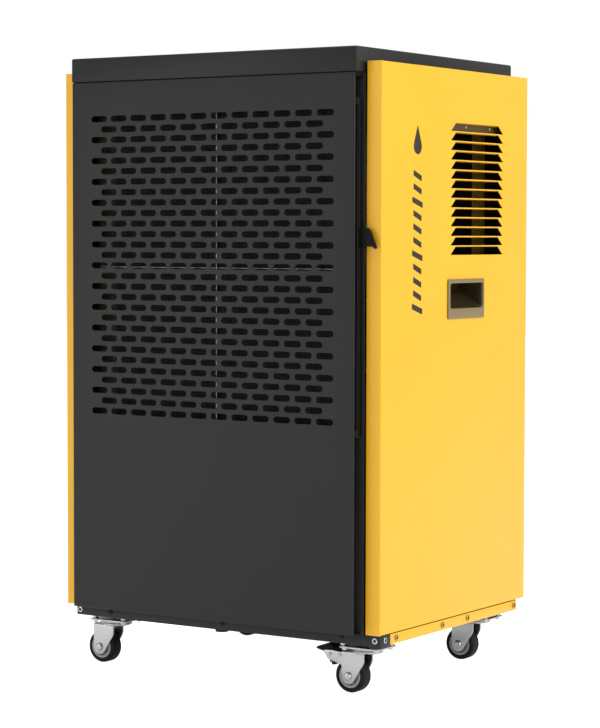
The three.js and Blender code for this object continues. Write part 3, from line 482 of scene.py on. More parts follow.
nylon = finish("grey_nylon", (0.36, 0.365, 0.37), 0.46, 0.0012, 0.00008, mottle=0.06)
tyre_rubber = finish("tyre_rubber", (0.006, 0.006, 0.0063), 0.55, 0.0012, 0.00012, mottle=0.15,
                     specular=0.22)
grained_black = finish("grained_black_plastic", (0.006, 0.006, 0.0065), 0.5, 0.0007, 0.00009, mottle=0.08,
                       specular=0.14)
dark_steel = finish("dark_spring_steel", (0.05, 0.05, 0.052), 0.4, 0.0008, 0.00005, metallic=0.9, mottle=0.15)


def caster_fork(name, place, trail, axle, top, braked):
    """Two cheeks, open at the front, bent down from a flat top; a station is x, y and the low edge."""
    heel, out, sheet_wall, soft = 0.012, 0.0157, 0.0025, 0.0025
    heel_x, waist = -trail - heel, axle + 0.017
    stations = [(heel_x, out, axle)]
    for step in range(1, 9):
        angle = math.radians(180 + step * 148 / 8)
        stations.append((-trail + heel * math.cos(angle), out, axle + heel * math.sin(angle)))
    stations += [(-0.009, 0.0150, axle + 0.0042), (-0.0006, 0.0146, axle + 0.0180),
                 (0.0016, 0.0145, axle + 0.0235)]
    skins, crowns = [], []
    for side in (-1, 1):
        rows = [[], [], []]
        for x, y, low in stations:
            middle = waist if low < axle + heel else (low + top - soft) / 2
            for row, z in zip(rows, (low, middle, top - soft)):
                row.append(place @ Vector((x, side * y, z)))
        for step in range(1, 5):
            turn = math.radians(90) * step / 4
            inset, rise = soft * (1 - math.cos(turn)), soft * (1 - math.sin(turn))
            rows.append([place @ Vector((x, side * (y - inset), top - rise)) for x, y, low in stations])
        skins.append(loft(rows, closed=False, low_cap=False, high_cap=False))
        crowns.append(rows[-1])
    skins.append((crowns[0] + crowns[1][::-1], [tuple(range(2 * len(stations)))]))
    if braked:
        arm = filleted([(heel_x, waist), (-0.0498, axle + 0.0207), (-0.0618, axle + 0.0237),
                        (-0.0723, axle + 0.0372), (-0.0560, top - 0.0010), (heel_x, top - soft)],
                       0.0016, 3, closed=False)
        for side in (-1, 1):
            skins.append(([place @ Vector((p.x, side * out, p.y)) for p in arm], [tuple(range(len(arm)))]))
    return piece(name, skins, zinc_plate, inside=place @ Vector((-0.015, 0, 0.045)), wall=sheet_wall,
                 edge=0.0004, crease=40)


def caster_plate(name, place, low, high, bolts):
    """Mounting plate with rounded corners, its spacers and the king pin under it."""
    across = Vector((0.072, 0.060)) / 2
    outline = filleted([(-across.x, -across.y), (across.x, -across.y), (across.x, across.y),
                        (-across.x, across.y)], 0.007, 6)
    skins = [loft([[place @ Vector((p.x, p.y, z)) for p in outline] for z in (low, high)])]
    spacer = filleted([(0.0048 * math.cos(math.radians(a)), 0.0048 * math.sin(math.radians(a)))
                       for a in range(0, 360, 60)], 0.0006, 1)
    for x, y in bolts:
        skins.append(loft([[place @ Vector((x + p.x, y + p.y, z)) for p in spacer]
                           for z in (high - 0.0002, high + 0.0100)]))
    pin = filleted([(0, low - 0.0088), (0.0052, low - 0.0088), (0.0058, low - 0.0074), (0.0058, low + 0.0005),
                    (0, low + 0.0005)], 0.0005, 2, closed=False)
    skins.append(turned(pin, place, 24))
    return piece(name, skins, zinc_plate, edge=0.0004)


def caster_dish(name, place, top, under):
    """The fork's domed seat, with a ball-race groove between two rims."""
    profile = [(0.0066, top - 0.0012), (0.0215, top - 0.0012), (0.0238, top + 0.0002), (0.0244, top + 0.0018),
               (0.0238, top + 0.0032), (0.0216, top + 0.0036), (0.0216, top + 0.0044), (0.0262, top + 0.0046),
               (0.0272, top + 0.0056), (0.0268, under - 0.0004), (0.0258, under), (0.0066, under)]
    return piece(name, [turned(profile + profile[:1], place, 48)], zinc_plate, edge=0.0002)


def caster_axle(name, place, out):
    """Axle bolt: a domed head outside one cheek, and a washer and nut outside the other."""
    shank = [(0, -out - 0.0042), (0.0035, -out - 0.0042), (0.0035, -out - 0.0032), (0.0038, -out - 0.003),
             (0.0038, out + 0.0002), (0.0066, out + 0.0002), (0.0066, out + 0.0016), (0.0052, out + 0.0036),
             (0.0028, out + 0.0042), (0, out + 0.0043)]
    washer = [(0.0037, -out - 0.0002), (0.0072, -out - 0.0002), (0.0072, -out - 0.001),
              (0.0037, -out - 0.001), (0.0037, -out - 0.0002)]
    hexagon = []
    for share, height in ((0.0036, -out - 0.0011), (0.0058, -out - 0.0011), (0.0058, -out - 0.0032),
                          (0.0049, -out - 0.0037), (0.0036, -out - 0.0037), (0.0036, -out - 0.0011)):
        hexagon.append([place @ Vector((share * math.cos(math.radians(60 * index)),
                                        share * math.sin(math.radians(60 * index)), height))
                        for index in range(6)])
    skins = [turned(shank, place, 32), turned(washer, place, 32),
             loft(hexagon, low_cap=False, high_cap=False)]
    return piece(name, skins, zinc_plate, edge=0.0002)


def caster_hub(name, place, rim, half):
    """Nylon hub: a boss, a dished web with two rings and a rim, alike on both faces."""
    face = [(0.0043, half), (0.0078, half), (0.0084, half - 0.0006), (0.0088, half - 0.0055),
            (0.0106, half - 0.006), (0.0114, half - 0.003), (0.0124, half - 0.003), (0.0132, half - 0.0055),
            (0.0144, half - 0.0055), (0.0150, half - 0.0012), (0.0158, half - 0.0006),
            (rim - 0.0006, half - 0.0006), (rim, half - 0.0016)]
    profile = face + [(r, -h) for r, h in reversed(face)] + face[:1]
    return piece(name, [turned(profile, place, 64)], nylon, crease=30)


def caster_tyre(name, place, rim, radius, half):
    """Rubber tyre: flat sidewalls, a moulding groove beside the rim and rounded shoulders."""
    side = [(rim + 0.0003, half - 0.0014), (rim + 0.0006, half - 0.0004), (rim + 0.0012, half - 0.0004),
            (rim + 0.0016, half), (rim + 0.0031, half - 0.0001)]
    for step in range(7):
        turn = math.radians(15 + 75 * step / 6)
        side.append((radius - 0.0045 + 0.0045 * math.sin(turn) if step else radius - 0.0034,
                     half - 0.0046 + 0.0044 * math.cos(turn)))
    profile = side + [(r, -h) for r, h in reversed(side)] + side[:1]
    return piece(name, [turned(profile, place, 72)], tyre_rubber, crease=45)


def brake_pedal(name, place, pivot, half):
    """Moulded foot pedal: a ridged tread above and a nose that presses on the tyre."""
    tread = [(-0.0285, 0.0070), (-0.0272, 0.0094)]
    for step in range(8):
        share = step / 8
        x, z = -0.0262 + 0.0172 * share, 0.0092 + 0.0062 * share
        tread += [(x, z), (x + 0.0010, z + 0.0010)]
    outline = tread + [(-0.008, 0.0160), (-0.002, 0.0160), (0.0045, 0.009), (0.0055, -0.0032),
                       (0.006, -0.0165), (0.001, -0.0167), (-0.003, -0.0072), (-0.010, 0.0015),
                       (-0.020, 0.0042), (-0.026, 0.0055)]
    flat = [(pivot.x + x, pivot.y + z) for x, z in outline]
    skin = loft([[place @ Vector((x, y, z)) for x, z in flat] for y in (-half, half)])
    return piece(name, [skin], grained_black, edge=0.0006)


def brake_teeth(name, place, pivot):
    """Toothed spring leaf beside the pedal's nose, under the fork's arm."""
    comb = [(-0.0032, -0.0080)]
    for step in range(4):
        x = -0.0029 + 0.0036 * step
        comb += [(x, -0.0104), (x + 0.0012, -0.0142), (x + 0.0024, -0.0104)]
    comb += [(0.0118, -0.0080)]
    skins = []
    for side in (-1, 1):
        y = side * 0.0128
        skins.append(loft([[place @ Vector((pivot.x + x, y + w, pivot.y + z)) for x, z in comb]
                           for w in (-0.0003, 0.0003)]))
    return piece(name, skins, dark_steel)


def rivets(name, place, spots, out):
    skins = []
    for x, z in spots:
        for side in (-1, 1):
            outwards = Matrix.Rotation(math.radians(-90 * side), 4, "X")
            seat = place @ Matrix.Translation((x, side * out, z)) @ outwards
            dome = [(0.0011, 0.0003), (0.0015, 0.0009), (0.0021, 0.0011), (0.0028, 0.0007), (0.0031, -0.0003)]
            skins.append(turned([(0, 0.0003)] + dome + [(0, -0.0003)], seat, 20))
    return piece(name, skins, zinc_plate)


bolt_spots = [(x, y) for x in (-0.0285, 0.0285) for y in (-0.022, 0.022)]
cheek_out = 0.0157
for corner in ("front_left", "front_right", "rear_left", "rear_right"):
    label = "caster_" + corner
    plate_low, plate_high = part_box(label + "_plate")
    axle_low, axle_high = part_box(label + "_axle")
    tyre_low, tyre_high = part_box(label + "_tyre")
    centre = Vector(((plate_low.x + plate_high.x) / 2, (plate_low.y + plate_high.y) / 2, 0))
    axle_place = (axle_low + axle_high) / 2
    heading = math.pi if axle_place.x > centre.x else 0.0
    trail = abs(axle_place.x - centre.x)
    wheel_radius = (tyre_high.z - tyre_low.z) / 2
    half_tread = (tyre_high.y - tyre_low.y) / 2
    braked = corner in ("front_right", "rear_left")
    stand = Matrix.Translation(centre) @ Matrix.Rotation(heading, 4, "Z")
    wheel = stand @ Matrix.Translation((-trail, 0, axle_place.z)) @ Matrix.Rotation(math.radians(90), 4, "X")
    plate_top = plate_high.z - 0.01
    plate_under = plate_top - 0.0025
    dish_under = plate_under - 0.0003
    fork_top = dish_under - 0.0069
    rim = wheel_radius - 0.0072

    plate = caster_plate(label + "_top_plate", stand, plate_under, plate_top, bolt_spots)
    under_bolts = scattered(label + "_bolts", nut, [
        (stand @ Vector((x, y, plate_under)), (0, 0, -1)) for x, y in bolt_spots], zinc_plate, 0.75)
    fork = caster_fork(label + "_pressed_fork", stand, trail, axle_place.z, fork_top, braked)
    dish = caster_dish(label + "_race", stand, fork_top, dish_under)
    bolt = caster_axle(label + "_axle_bolt", wheel, cheek_out)
    hub = caster_hub(label + "_grooved_hub", wheel, rim, half_tread)
    tyre = caster_tyre(label + "_rounded_tyre", wheel, rim, wheel_radius, half_tread)
    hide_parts(label + "_plate")
    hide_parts(label + "_fork")
    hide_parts(label + "_axle")
    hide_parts(label + "_hub")
    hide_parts(label + "_tyre")
    for made, body, finish_slot in (
            (plate, "root", "zinc"), (under_bolts, "root", "zinc"), (fork, "swivel_" + corner, "zinc"),
            (dish, "swivel_" + corner, "zinc"), (bolt, "swivel_" + corner, "zinc"),
            (hub, "wheel_" + corner, "grey_plastic"), (tyre, "wheel_" + corner, "tyre_rubber")):
        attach(made, body)
    if braked:
        reach, swing = wheel_radius + 0.0187, math.radians(135.45)
        pivot = Vector((-trail + reach * math.cos(swing), axle_place.z + reach * math.sin(swing)))
        pedal = brake_pedal(label + "_foot_pedal", stand, pivot, 0.0124)
        teeth = brake_teeth(label + "_brake_teeth", stand, pivot)
        studs = rivets(label + "_rivets", stand, [tuple(pivot), (pivot.x + 0.0174, pivot.y)], cheek_out)
        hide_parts(label + "_brake_pedal")
        for made, body, finish_slot in ((pedal, "pedal_" + corner, "black_plastic"),
                                        (teeth, "pedal_" + corner, "zinc"),
                                        (studs, "swivel_" + corner, "zinc")):
            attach(made, body)

# ---- Side panels
# Yellow powder-coated sheet steel, with a flange and a return folded down both upright edges.
# Fourteen louvres are pierced and pressed inwards, each a nearly level blade from its opening's top edge.

yellow_paint = finish("yellow_powder_coat", (0.93, 0.492, 0.014), 0.36, 0.0013, 0.00008, coat=0.12,
                      mottle=0.03, worn=(0.55, 0.42, 0.16), wear=0.25)
panel_face = 0.300
panel_sheet = 0.0012
panel_bend = 0.0016
louvre_count, louvre_pitch, louvre_height = 14, 0.015, 0.0137
louvre_wide, louvre_narrow, louvre_reach, louvre_drop = 0.174, 0.140, 0.0125, 0.0014
louvre_middle, first_louvre = 0.299, 0.0833


def louvre_blade():
    """A tight bend at the root and a flat, widening tongue; u along the louvre, v up, w inwards."""
    radius, turn = 0.0006, math.radians(82)
    rows = []
    for step in range(6):
        angle = turn * step / 5
        rows.append((louvre_height / 2 - radius * math.sin(angle), radius * (1 - math.cos(angle)),
                     radius * angle))
    rows.append((louvre_height / 2 - louvre_drop, louvre_reach, louvre_height))
    loops = []
    for v, w, run in rows:
        half = (louvre_narrow + (louvre_wide - louvre_narrow) * run / louvre_height) / 2
        loops.append([Vector((-half, v, w)), Vector((half, v, w))])
    return template_of("louvre_blade", loft(loops, closed=False, low_cap=False, high_cap=False))


def louvre_tree():
    """A sheet within its base's edges, cut by a column of tapered openings with a blade in each."""
    tree, given = new_tree("louvred_sheet", {
        "Blade": ("Object", None), "Count": ("Int", 1), "First": ("Vector", None), "Step": ("Vector", None),
        "Height": ("Float", 0.01), "Wide": ("Float", 0.1), "Narrow": ("Float", 0.1)})
    places = node(tree, "GeometryNodeMeshLine", {
        "Count": given["Count"], "Start Location": given["First"], "Offset": given["Step"]}, mode="OFFSET")
    opening = node(tree, "GeometryNodeCurvePrimitiveQuadrilateral", {
        "Height": given["Height"], "Bottom Width": given["Wide"], "Top Width": given["Narrow"],
        "Offset": 0.0}, mode="TRAPEZOID")
    openings = node(tree, "GeometryNodeInstanceOnPoints", {
        "Points": places.outputs["Mesh"], "Instance": opening.outputs["Curve"]})
    edges = node(tree, "GeometryNodeMeshToCurve", {"Mesh": given["Geometry"]})
    blade = node(tree, "GeometryNodeObjectInfo", {"Object": given["Blade"]})
    blades = node(tree, "GeometryNodeInstanceOnPoints", {
        "Points": places.outputs["Mesh"], "Instance": blade.outputs["Geometry"]})
    sheet = filled(tree, [edges.outputs["Curve"], openings.outputs["Instances"]])
    return end_tree(tree, given, together(tree, [sheet, blades.outputs["Instances"]]))


def together(tree, parts):
    whole = node(tree, "GeometryNodeJoinGeometry")
    for part in parts:
        tree.links.new(part, whole.inputs["Geometry"])
    return whole.outputs["Geometry"]


def filled(tree, curves):
    """The flat area inside closed curves, with the inner ones as holes."""
    real = node(tree, "GeometryNodeRealizeInstances", {"Geometry": together(tree, curves)})
    area = node(tree, "GeometryNodeFillCurve", {"Curve": real.outputs["Geometry"]}, mode="TRIANGLES")
    return area.outputs["Mesh"]


def edge_loops(loops):
    """A base mesh of closed loops of edges, drawn in a plane."""
    points, edges = [], []
    for loop in loops:
        first, count = len(points), len(loop)
        points += [(point[0], point[1], 0) for point in loop]
        edges += [(first + index, first + (index + 1) % count) for index in range(count)]
    mesh = bpy.data.meshes.new("edges")
    mesh.from_pydata(points, edges, [])
    return mesh


def flat_skin(tree, loops, values, place):
    """Runs a tree on loops drawn in a plane, and sets its mesh in place as a skin."""
    flat = grown("flat_sheet", tree, edge_loops(loops), values, black_steel)
    skin = ([place(*corner.co) for corner in flat.data.vertices],
            [tuple(face.vertices) for face in flat.data.polygons])
    bpy.data.objects.remove(flat)
    return skin


def rounded_rectangle(u, v, radius, steps=5):
    return filleted([(u[0], v[0]), (u[1], v[0]), (u[1], v[1]), (u[0], v[1])], radius, steps)


louvred_sheet = louvre_tree()
blade = louvre_blade()


def side_panel(side):
    low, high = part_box("side_panel_right")
    body_low, body_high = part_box("handle_cup_right")
    rim_side, rim_foot, rim_head, cup_gap = 0.003, 0.010, 0.003, 0.0004
    face_x = panel_face
    edge_x = face_x - 0.0264
    bottom, top = low.z + 0.0003, high.z - 0.0003
    front, back = low.y + panel_bend, high.y - panel_bend
    hole = rounded_rectangle((body_low.y + rim_side - cup_gap, body_high.y - rim_side + cup_gap),
                             (body_low.z + rim_foot - cup_gap, body_high.z - rim_head + cup_gap), 0.004)
    outline = [(front, bottom + panel_bend), (back, bottom + panel_bend),
               (back, top - panel_bend), (front, top - panel_bend)]
    first = Vector((low.y + louvre_middle, high.z - first_louvre - louvre_height / 2, 0))
    values = {"Blade": blade, "Count": louvre_count, "First": first, "Step": Vector((0, -louvre_pitch, 0)),
              "Height": louvre_height, "Wide": louvre_wide, "Narrow": louvre_narrow}
    skins = [flat_skin(louvred_sheet, [outline, hole], values,
                       lambda u, v, w: Vector((side * (face_x - w), u, v)))]
    levels = (low.z, bottom + panel_bend, top - panel_bend, high.z)
    for corner, way in ((low.y, 1), (high.y, -1)):
        path = filleted([(edge_x, corner + way * 0.012), (edge_x, corner), (face_x, corner),
                         (face_x, corner + way * panel_bend)], panel_bend, 5, closed=False)
        skins.append(loft([[Vector((side * x, y, z)) for x, y in path] for z in levels],
                          closed=False, low_cap=False, high_cap=False))
    for level, way in ((top, -1), (bottom, 1)):
        path = filleted([(face_x, level + way * panel_bend), (face_x, level), (edge_x + 0.002, level)],
                        panel_bend, 5, closed=False)
        skins.append(loft([[Vector((side * x, y, z)) for x, z in path] for y in (front, back)],
                          closed=False, low_cap=False, high_cap=False))
    name = "panel_right" if side > 0 else "panel_left"
    return piece(name, skins, yellow_paint, inside=(side * (face_x - 0.008), 0, (bottom + top) / 2),
                 wall=panel_sheet)


for side, hand in ((1, "right"), (-1, "left")):
    panel = side_panel(side)
    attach(panel, "root")
    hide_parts("side_panel_" + hand)

# ---- Carrying handles
# A finger recess in each side, moulded in satin bronze-grey plastic and snapped in. Its inside is painted
# dark as shade.
# Its flat rim stands 3 mm proud. The floor of the recess slopes up towards the back for the fingertips.

# The rim colour is lighter than the plastic's own bronze, as a painted sheen.
rim_colour_painted_sheen = (0.235, 0.175, 0.075)
# The recess colour is painted shade for the deep inside of the recess.
recess_painted_shade_colour = (0.036, 0.024, 0.008)


def cup_plastic_painted_shade():
    """A satin bronze plastic with a painted sheen on the rim, painted dark behind the panel's face as the
    recess's shade.
    """
    material = finish("bronze_grey_plastic", rim_colour_painted_sheen, 0.36, 0.0009, 0.00005, mottle=0.05)
    tree = material.node_tree
    shader = tree.nodes["Principled BSDF"]
    rim_tint = shader.inputs["Base Color"].links[0].from_socket
    place = node(tree, "ShaderNodeSeparateXYZ", {
        "Vector": node(tree, "ShaderNodeTexCoord").outputs["Object"]})
    out = node(tree, "ShaderNodeMath", {0: place.outputs["X"]}, operation="ABSOLUTE")
    # Behind the panel's face the colour turns to the painted shade.
    painted_recess_shade = node(tree, "ShaderNodeMapRange", {
        "Value": out.outputs[0], "From Min": 0.3020, "From Max": 0.2990, "To Min": 0.0, "To Max": 1.0})
    tint = colour_mix(tree, painted_recess_shade.outputs["Result"], rim_tint, (*recess_painted_shade_colour, 1.0))
    tree.links.new(tint, shader.inputs["Base Color"])
    return material


cup_finish_painted_shade = cup_plastic_painted_shade()


def handle_cup(side):
    low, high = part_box("handle_cup_right")
    face_x, proud = panel_face, high.x - panel_face
    rim_y, rim_z = (low.y, high.y), (low.z, high.z)
    mouth_y = (low.y + 0.0065, low.y + 0.1145)
    mouth_z = (low.z + 0.0166, low.z + 0.0564)
    body_y, body_z = (low.y + 0.003, high.y - 0.003), (low.z + 0.010, low.z + 0.060)

    def drawn(span, inset):
        return span[0] + inset, span[1] - inset

    sections = [(low.x, drawn(body_y, 0.004), drawn(body_z, 0.004), 0.006),
                (low.x + 0.003, body_y, body_z, 0.004),
                (face_x + 0.0003, body_y, body_z, 0.004),
                (face_x + 0.0003, rim_y, rim_z, 0.003),
                (face_x + 0.0016, rim_y, rim_z, 0.003),
                (face_x + proud - 0.0004, drawn(rim_y, 0.0004), drawn(rim_z, 0.0004), 0.003),
                (face_x + proud, drawn(rim_y, 0.0014), drawn(rim_z, 0.0014), 0.003),
                (face_x + proud, drawn(mouth_y, -0.0012), drawn(mouth_z, -0.0012), 0.0058),
                (face_x + proud - 0.0004, drawn(mouth_y, -0.0004), drawn(mouth_z, -0.0004), 0.005),
                (face_x + proud - 0.0016, mouth_y, mouth_z, 0.0046)]
    for deep, rise in ((0.000, 0.0170), (0.008, 0.0195), (0.010, 0.0212), (0.020, 0.0285), (0.032, 0.0390),
                       (0.040, 0.0430), (0.0422, 0.0452)):
        sections.append((face_x - deep, drawn(mouth_y, 0.0008 + deep * 0.05),
                         (low.z + rise, low.z + 0.0572 - deep * 0.02), 0.0044 - deep * 0.05))
    loops = []
    for x, y_span, z_span, radius in sections:
        loops.append([Vector((side * x, y, z)) for y, z in rounded_rectangle(y_span, z_span, radius, 6)])
    name = "finger_recess_right" if side > 0 else "finger_recess_left"
    return piece(name, [loft(loops)], cup_finish_painted_shade, crease=50)


for side, hand in ((1, "right"), (-1, "left")):
    cup = handle_cup(side)
    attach(cup, "root")
    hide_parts("handle_cup_" + hand)

# ---- Base strips and corner piece
# A yellow flat steel strip is screwed along each side of the tray, and a folded black corner piece at the
# front right. The strips have plated button-head screws, and the corner piece a black screw on a bright
# washer in each leg.

brass_plate = finish("yellow_zinc_plate", (0.42, 0.29, 0.08), 0.32, 0.0007, 0.00004, metallic=1.0, mottle=0.1)
strip_screws = (0.048, 0.1913, 0.2734, 0.4322)


def side_strip(side):
    low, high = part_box("side_strip_right" if side > 0 else "side_strip_left")
    outline = rounded_rectangle((low.y, high.y), (low.z, high.z), 0.0012, 3)
    strip_skin = loft([[Vector((x, y, z)) for y, z in outline] for x in (low.x, high.x)])
    name = "base_strip_right" if side > 0 else "base_strip_left"
    return piece(name, [strip_skin], yellow_paint, edge=0.0004)


def corner_piece():
    low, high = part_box("corner_bracket")
    path = filleted([(low.x, low.y), (high.x, low.y), (high.x, high.y)], 0.0022, 5, closed=False)
    rows = []
    for z, back in ((low.z, 0.0016), (low.z + 0.0016, 0.0), (high.z, 0.0)):
        row = [Vector((x, y, z)) for x, y in path]
        row[0] = Vector((low.x + back, low.y, z))
        row[-1] = Vector((high.x, high.y - back, z))
        rows.append(row)
    return piece("corner_piece", [loft(rows, closed=False, low_cap=False, high_cap=False)], black_steel,
                 inside=(low.x, high.y, (low.z + high.z) / 2), wall=tray_wall, edge=0.0003)


for side, hand in ((1, "right"), (-1, "left")):
    strip = side_strip(side)
    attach(strip, "root")
    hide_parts("side_strip_" + hand)
corner = corner_piece()
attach(corner, "root")
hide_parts("corner_bracket")

cabinet_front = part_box("side_panel_right")[0].y
skirt_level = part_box("side_panel_right")[0].z - 0.008
plated_screws = scattered("strip_screws", head, [
    (Vector((side * panel_face, cabinet_front + y, skirt_level)), (side, 0, 0))
    for side in (-1, 1) for y in strip_screws], brass_plate, 0.88)
washer = template_of("washer", turned([
    (0.0030, -0.0002), (0.0058, -0.0002), (0.0058, 0.0006), (0.0052, 0.0010), (0.0030, 0.0010),
    (0.0030, -0.0002)], Matrix.Identity(4), 28))
corner_places = [(Vector((0.291, cabinet_front, skirt_level)), (0, -1, 0)),
                 (Vector((panel_face, cabinet_front + 0.016, skirt_level)), (1, 0, 0)),
                 (Vector((-0.273, cabinet_front, skirt_level)), (0, -1, 0))]
bright_screws = scattered("corner_washers", washer, corner_places, zinc_plate, 0.8)
corner_screws = scattered("corner_screws", head, corner_places, black_screw, 0.5)
skirt_screws = scattered("skirt_screws", head, [
    (Vector((x, cabinet_front, skirt_level + 0.0015)), (0, -1, 0)) for x in (-0.2119, 0.0098, 0.2317)],
    black_screw, 0.8)
for made, finish_slot in ((plated_screws, "zinc"), (bright_screws, "zinc"), (corner_screws, "black_paint"),
                          (skirt_screws, "black_paint")):
    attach(made, "root")

# ---- Filter
# A slide-in cassette: a dark folded aluminium frame, one thin bright stay each way, and a woven nylon net
# behind them. Its right end is closed by a black moulded plate with the hook that it is drawn out by.

dark_anodised = finish("dark_anodised_aluminium", (0.05, 0.051, 0.053), 0.4, 0.0009, 0.00004, metallic=0.8,
                       mottle=0.1, stretch=(0.2, 1, 1))
bright_aluminium = finish("bright_aluminium", (0.42, 0.42, 0.41), 0.3, 0.0008, 0.00003, metallic=1.0,
                          mottle=0.05, stretch=(0.3, 1, 1))
net_nylon = finish("black_net", (0.018, 0.018, 0.019), 0.6, 0.0004, 0.00002, mottle=0.15)


def upright(a, b, c):
    return Vector((a, b, c))


def rounded_bar(u, v, w, place, radius):
    """A closed bar of rounded section (u by v), from w[0] to w[1]."""
    section = rounded_rectangle(u, v, radius, 3)
    return loft([[place(a, b, c) for a, b in section] for c in w])


def filter_frame():
    low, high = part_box("filter_frame")
    member, wall, deep = 0.012, 0.001, high.y - low.y
    rings = []
    profile = filleted([(0, 0), (member, 0), (member, wall), (wall, wall), (wall, deep - wall),
                        (member, deep - wall), (member, deep), (0, deep)], 0.0004, 1)
    for inset, depth in profile:
        rings.append([Vector((x, low.y + depth, z)) for x, z in (
            (low.x + inset, low.z + inset), (high.x - inset, low.z + inset),
            (high.x - inset, high.z - inset), (low.x + inset, high.z - inset))])
    return piece("cassette_frame", [loft(rings, low_cap=False, high_cap=False, joined=True)], dark_anodised)


def filter_stays():
    low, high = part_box("filter_frame")
    middle = (low + high) / 2
    y = (low.y + 0.003, low.y + 0.0055)
    tuck = 0.0015
    skins = [rounded_bar((0.0047, 0.0063), y, (low.z + tuck, high.z - tuck), upright, 0.0006),
             rounded_bar((middle.z - 0.0030, middle.z - 0.0018), y, (low.x + tuck, high.x - tuck),
                         lambda a, b, c: Vector((c, b, a)), 0.0005)]
    return piece("cassette_stays", skins, bright_aluminium)


def strand_tree():
    """Straight strands of one length, set side by side."""
    tree, given = new_tree("strands", {
        "Count": ("Int", 1), "Step": ("Vector", None), "Size": ("Vector", None)})
    row = node(tree, "GeometryNodeMeshLine", {
        "Count": given["Count"], "Offset": given["Step"]}, mode="OFFSET")
    strand = node(tree, "GeometryNodeMeshCube", {"Size": given["Size"]})
    places = node(tree, "GeometryNodeInstanceOnPoints", {
        "Points": given["Geometry"], "Instance": row.outputs["Mesh"]})
    points = node(tree, "GeometryNodeRealizeInstances", {"Geometry": places.outputs["Instances"]})
    strands = node(tree, "GeometryNodeInstanceOnPoints", {
        "Points": points.outputs["Geometry"], "Instance": strand.outputs["Mesh"]})
    return end_tree(tree, given, strands.outputs["Instances"])


strands = strand_tree()


def row_of(name, start, step, count, size, material):
    """A run of equal flat strips from a starting point."""
    base = bpy.data.meshes.new(name)
    base.from_pydata([start], [], [])
    return grown(name, strands, base, {"Count": count, "Step": Vector(step), "Size": Vector(size)}, material)


def merged(name, objects):
    """Joins finished meshes of one material into one."""
    whole = bmesh.new()
    for made in objects:
        whole.from_mesh(made.data)
    mesh = bpy.data.meshes.new(name)
    whole.to_mesh(mesh)
    whole.free()
    mesh.materials.append(objects[0].data.materials[0])
    for made in objects:
        bpy.data.objects.remove(made)
    joined = bpy.data.objects.new(name, mesh)
    stage.collection.objects.link(joined)
    return joined


def filter_net():
    low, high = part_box("filter_mesh")
    middle = (low + high) / 2
    pitch, thick = 0.0026, 0.0005
    width, height = high.x - low.x, high.z - low.z
    across, up = int(width / pitch), int(height / pitch)
    warp = row_of("warp", (low.x + (width - (across - 1) * pitch) / 2, middle.y - thick / 2, middle.z),
                  (pitch, 0, 0), across, (thick, thick, height), net_nylon)
    weft = row_of("weft", (middle.x, middle.y + thick / 2, low.z + (height - (up - 1) * pitch) / 2),
                  (0, 0, pitch), up, (width, thick, thick), net_nylon)
    return merged("woven_net", [warp, weft])


def end_plate():
    low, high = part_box("filter_pull_tab")
    frame_low, frame_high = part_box("filter_frame")
    root = low.x
    reach = high.x - low.x
    foot = (frame_low.z + frame_high.z) / 2 + 0.044 - 0.016
    hook = filleted([(root, foot + 0.004), (root + reach * 0.76, foot + 0.004),
                     (root + reach * 0.9, foot + 0.0004), (root + reach, foot + 0.002),
                     (root + reach * 0.62, foot + 0.0288),
                     (root + reach * 0.5, foot + 0.032), (root, foot + 0.032)], 0.0012, 3)
    tongue = loft([[Vector((x, y, z)) for x, z in hook] for y in (low.y + 0.003, low.y + 0.007)])
    plate = rounded_bar((root, root + 0.0012), (low.y, high.y), (low.z, high.z), upright, 0.0004)
    return piece("pull_hook", [tongue, plate], grained_black, edge=0.0005)


cassette = filter_frame()
stays = filter_stays()
net = filter_net()
hook = end_plate()
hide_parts("filter_frame")
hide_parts("filter_mesh")
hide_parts("filter_pull_tab")
for made, finish_slot in ((cassette, "aluminium"), (stays, "aluminium"), (net, "filter_net"),
                          (hook, "black_plastic")):
    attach(made, "filter")

# ---- Front panel
# The intake grille: a black folded pan with 29 staggered rows of round-ended slots punched through its face.
# It has walls at the top, bottom and left. Its right side is open, so that the filter can slide out.

slot_length, slot_height = 0.031, 0.010
slot_pitch, row_pitch = 0.03896, 0.016725
long_row, row_count = 12, 29
front_black = finish("black_front_coat", (0.0150, 0.0153, 0.0160), 0.46, 0.0011, 0.00012, mottle=0.06,
                     worn=(0.08, 0.08, 0.08), wear=0.3, specular=0.32)


def grid_of(tree, columns, rows, pitch_x, pitch_y):
    """Points on a centred grid; its spans come from its counts and pitches."""
    spans = []
    for count, pitch in ((columns, pitch_x), (rows, pitch_y)):
        gaps = node(tree, "ShaderNodeMath", {0: count, 1: 1.0}, operation="SUBTRACT")
        span = node(tree, "ShaderNodeMath", {0: gaps.outputs[0], 1: pitch}, operation="MULTIPLY")
        spans.append(span.outputs[0])
    return node(tree, "GeometryNodeMeshGrid", {
        "Size X": spans[0], "Size Y": spans[1], "Vertices X": columns, "Vertices Y": rows}).outputs["Mesh"]


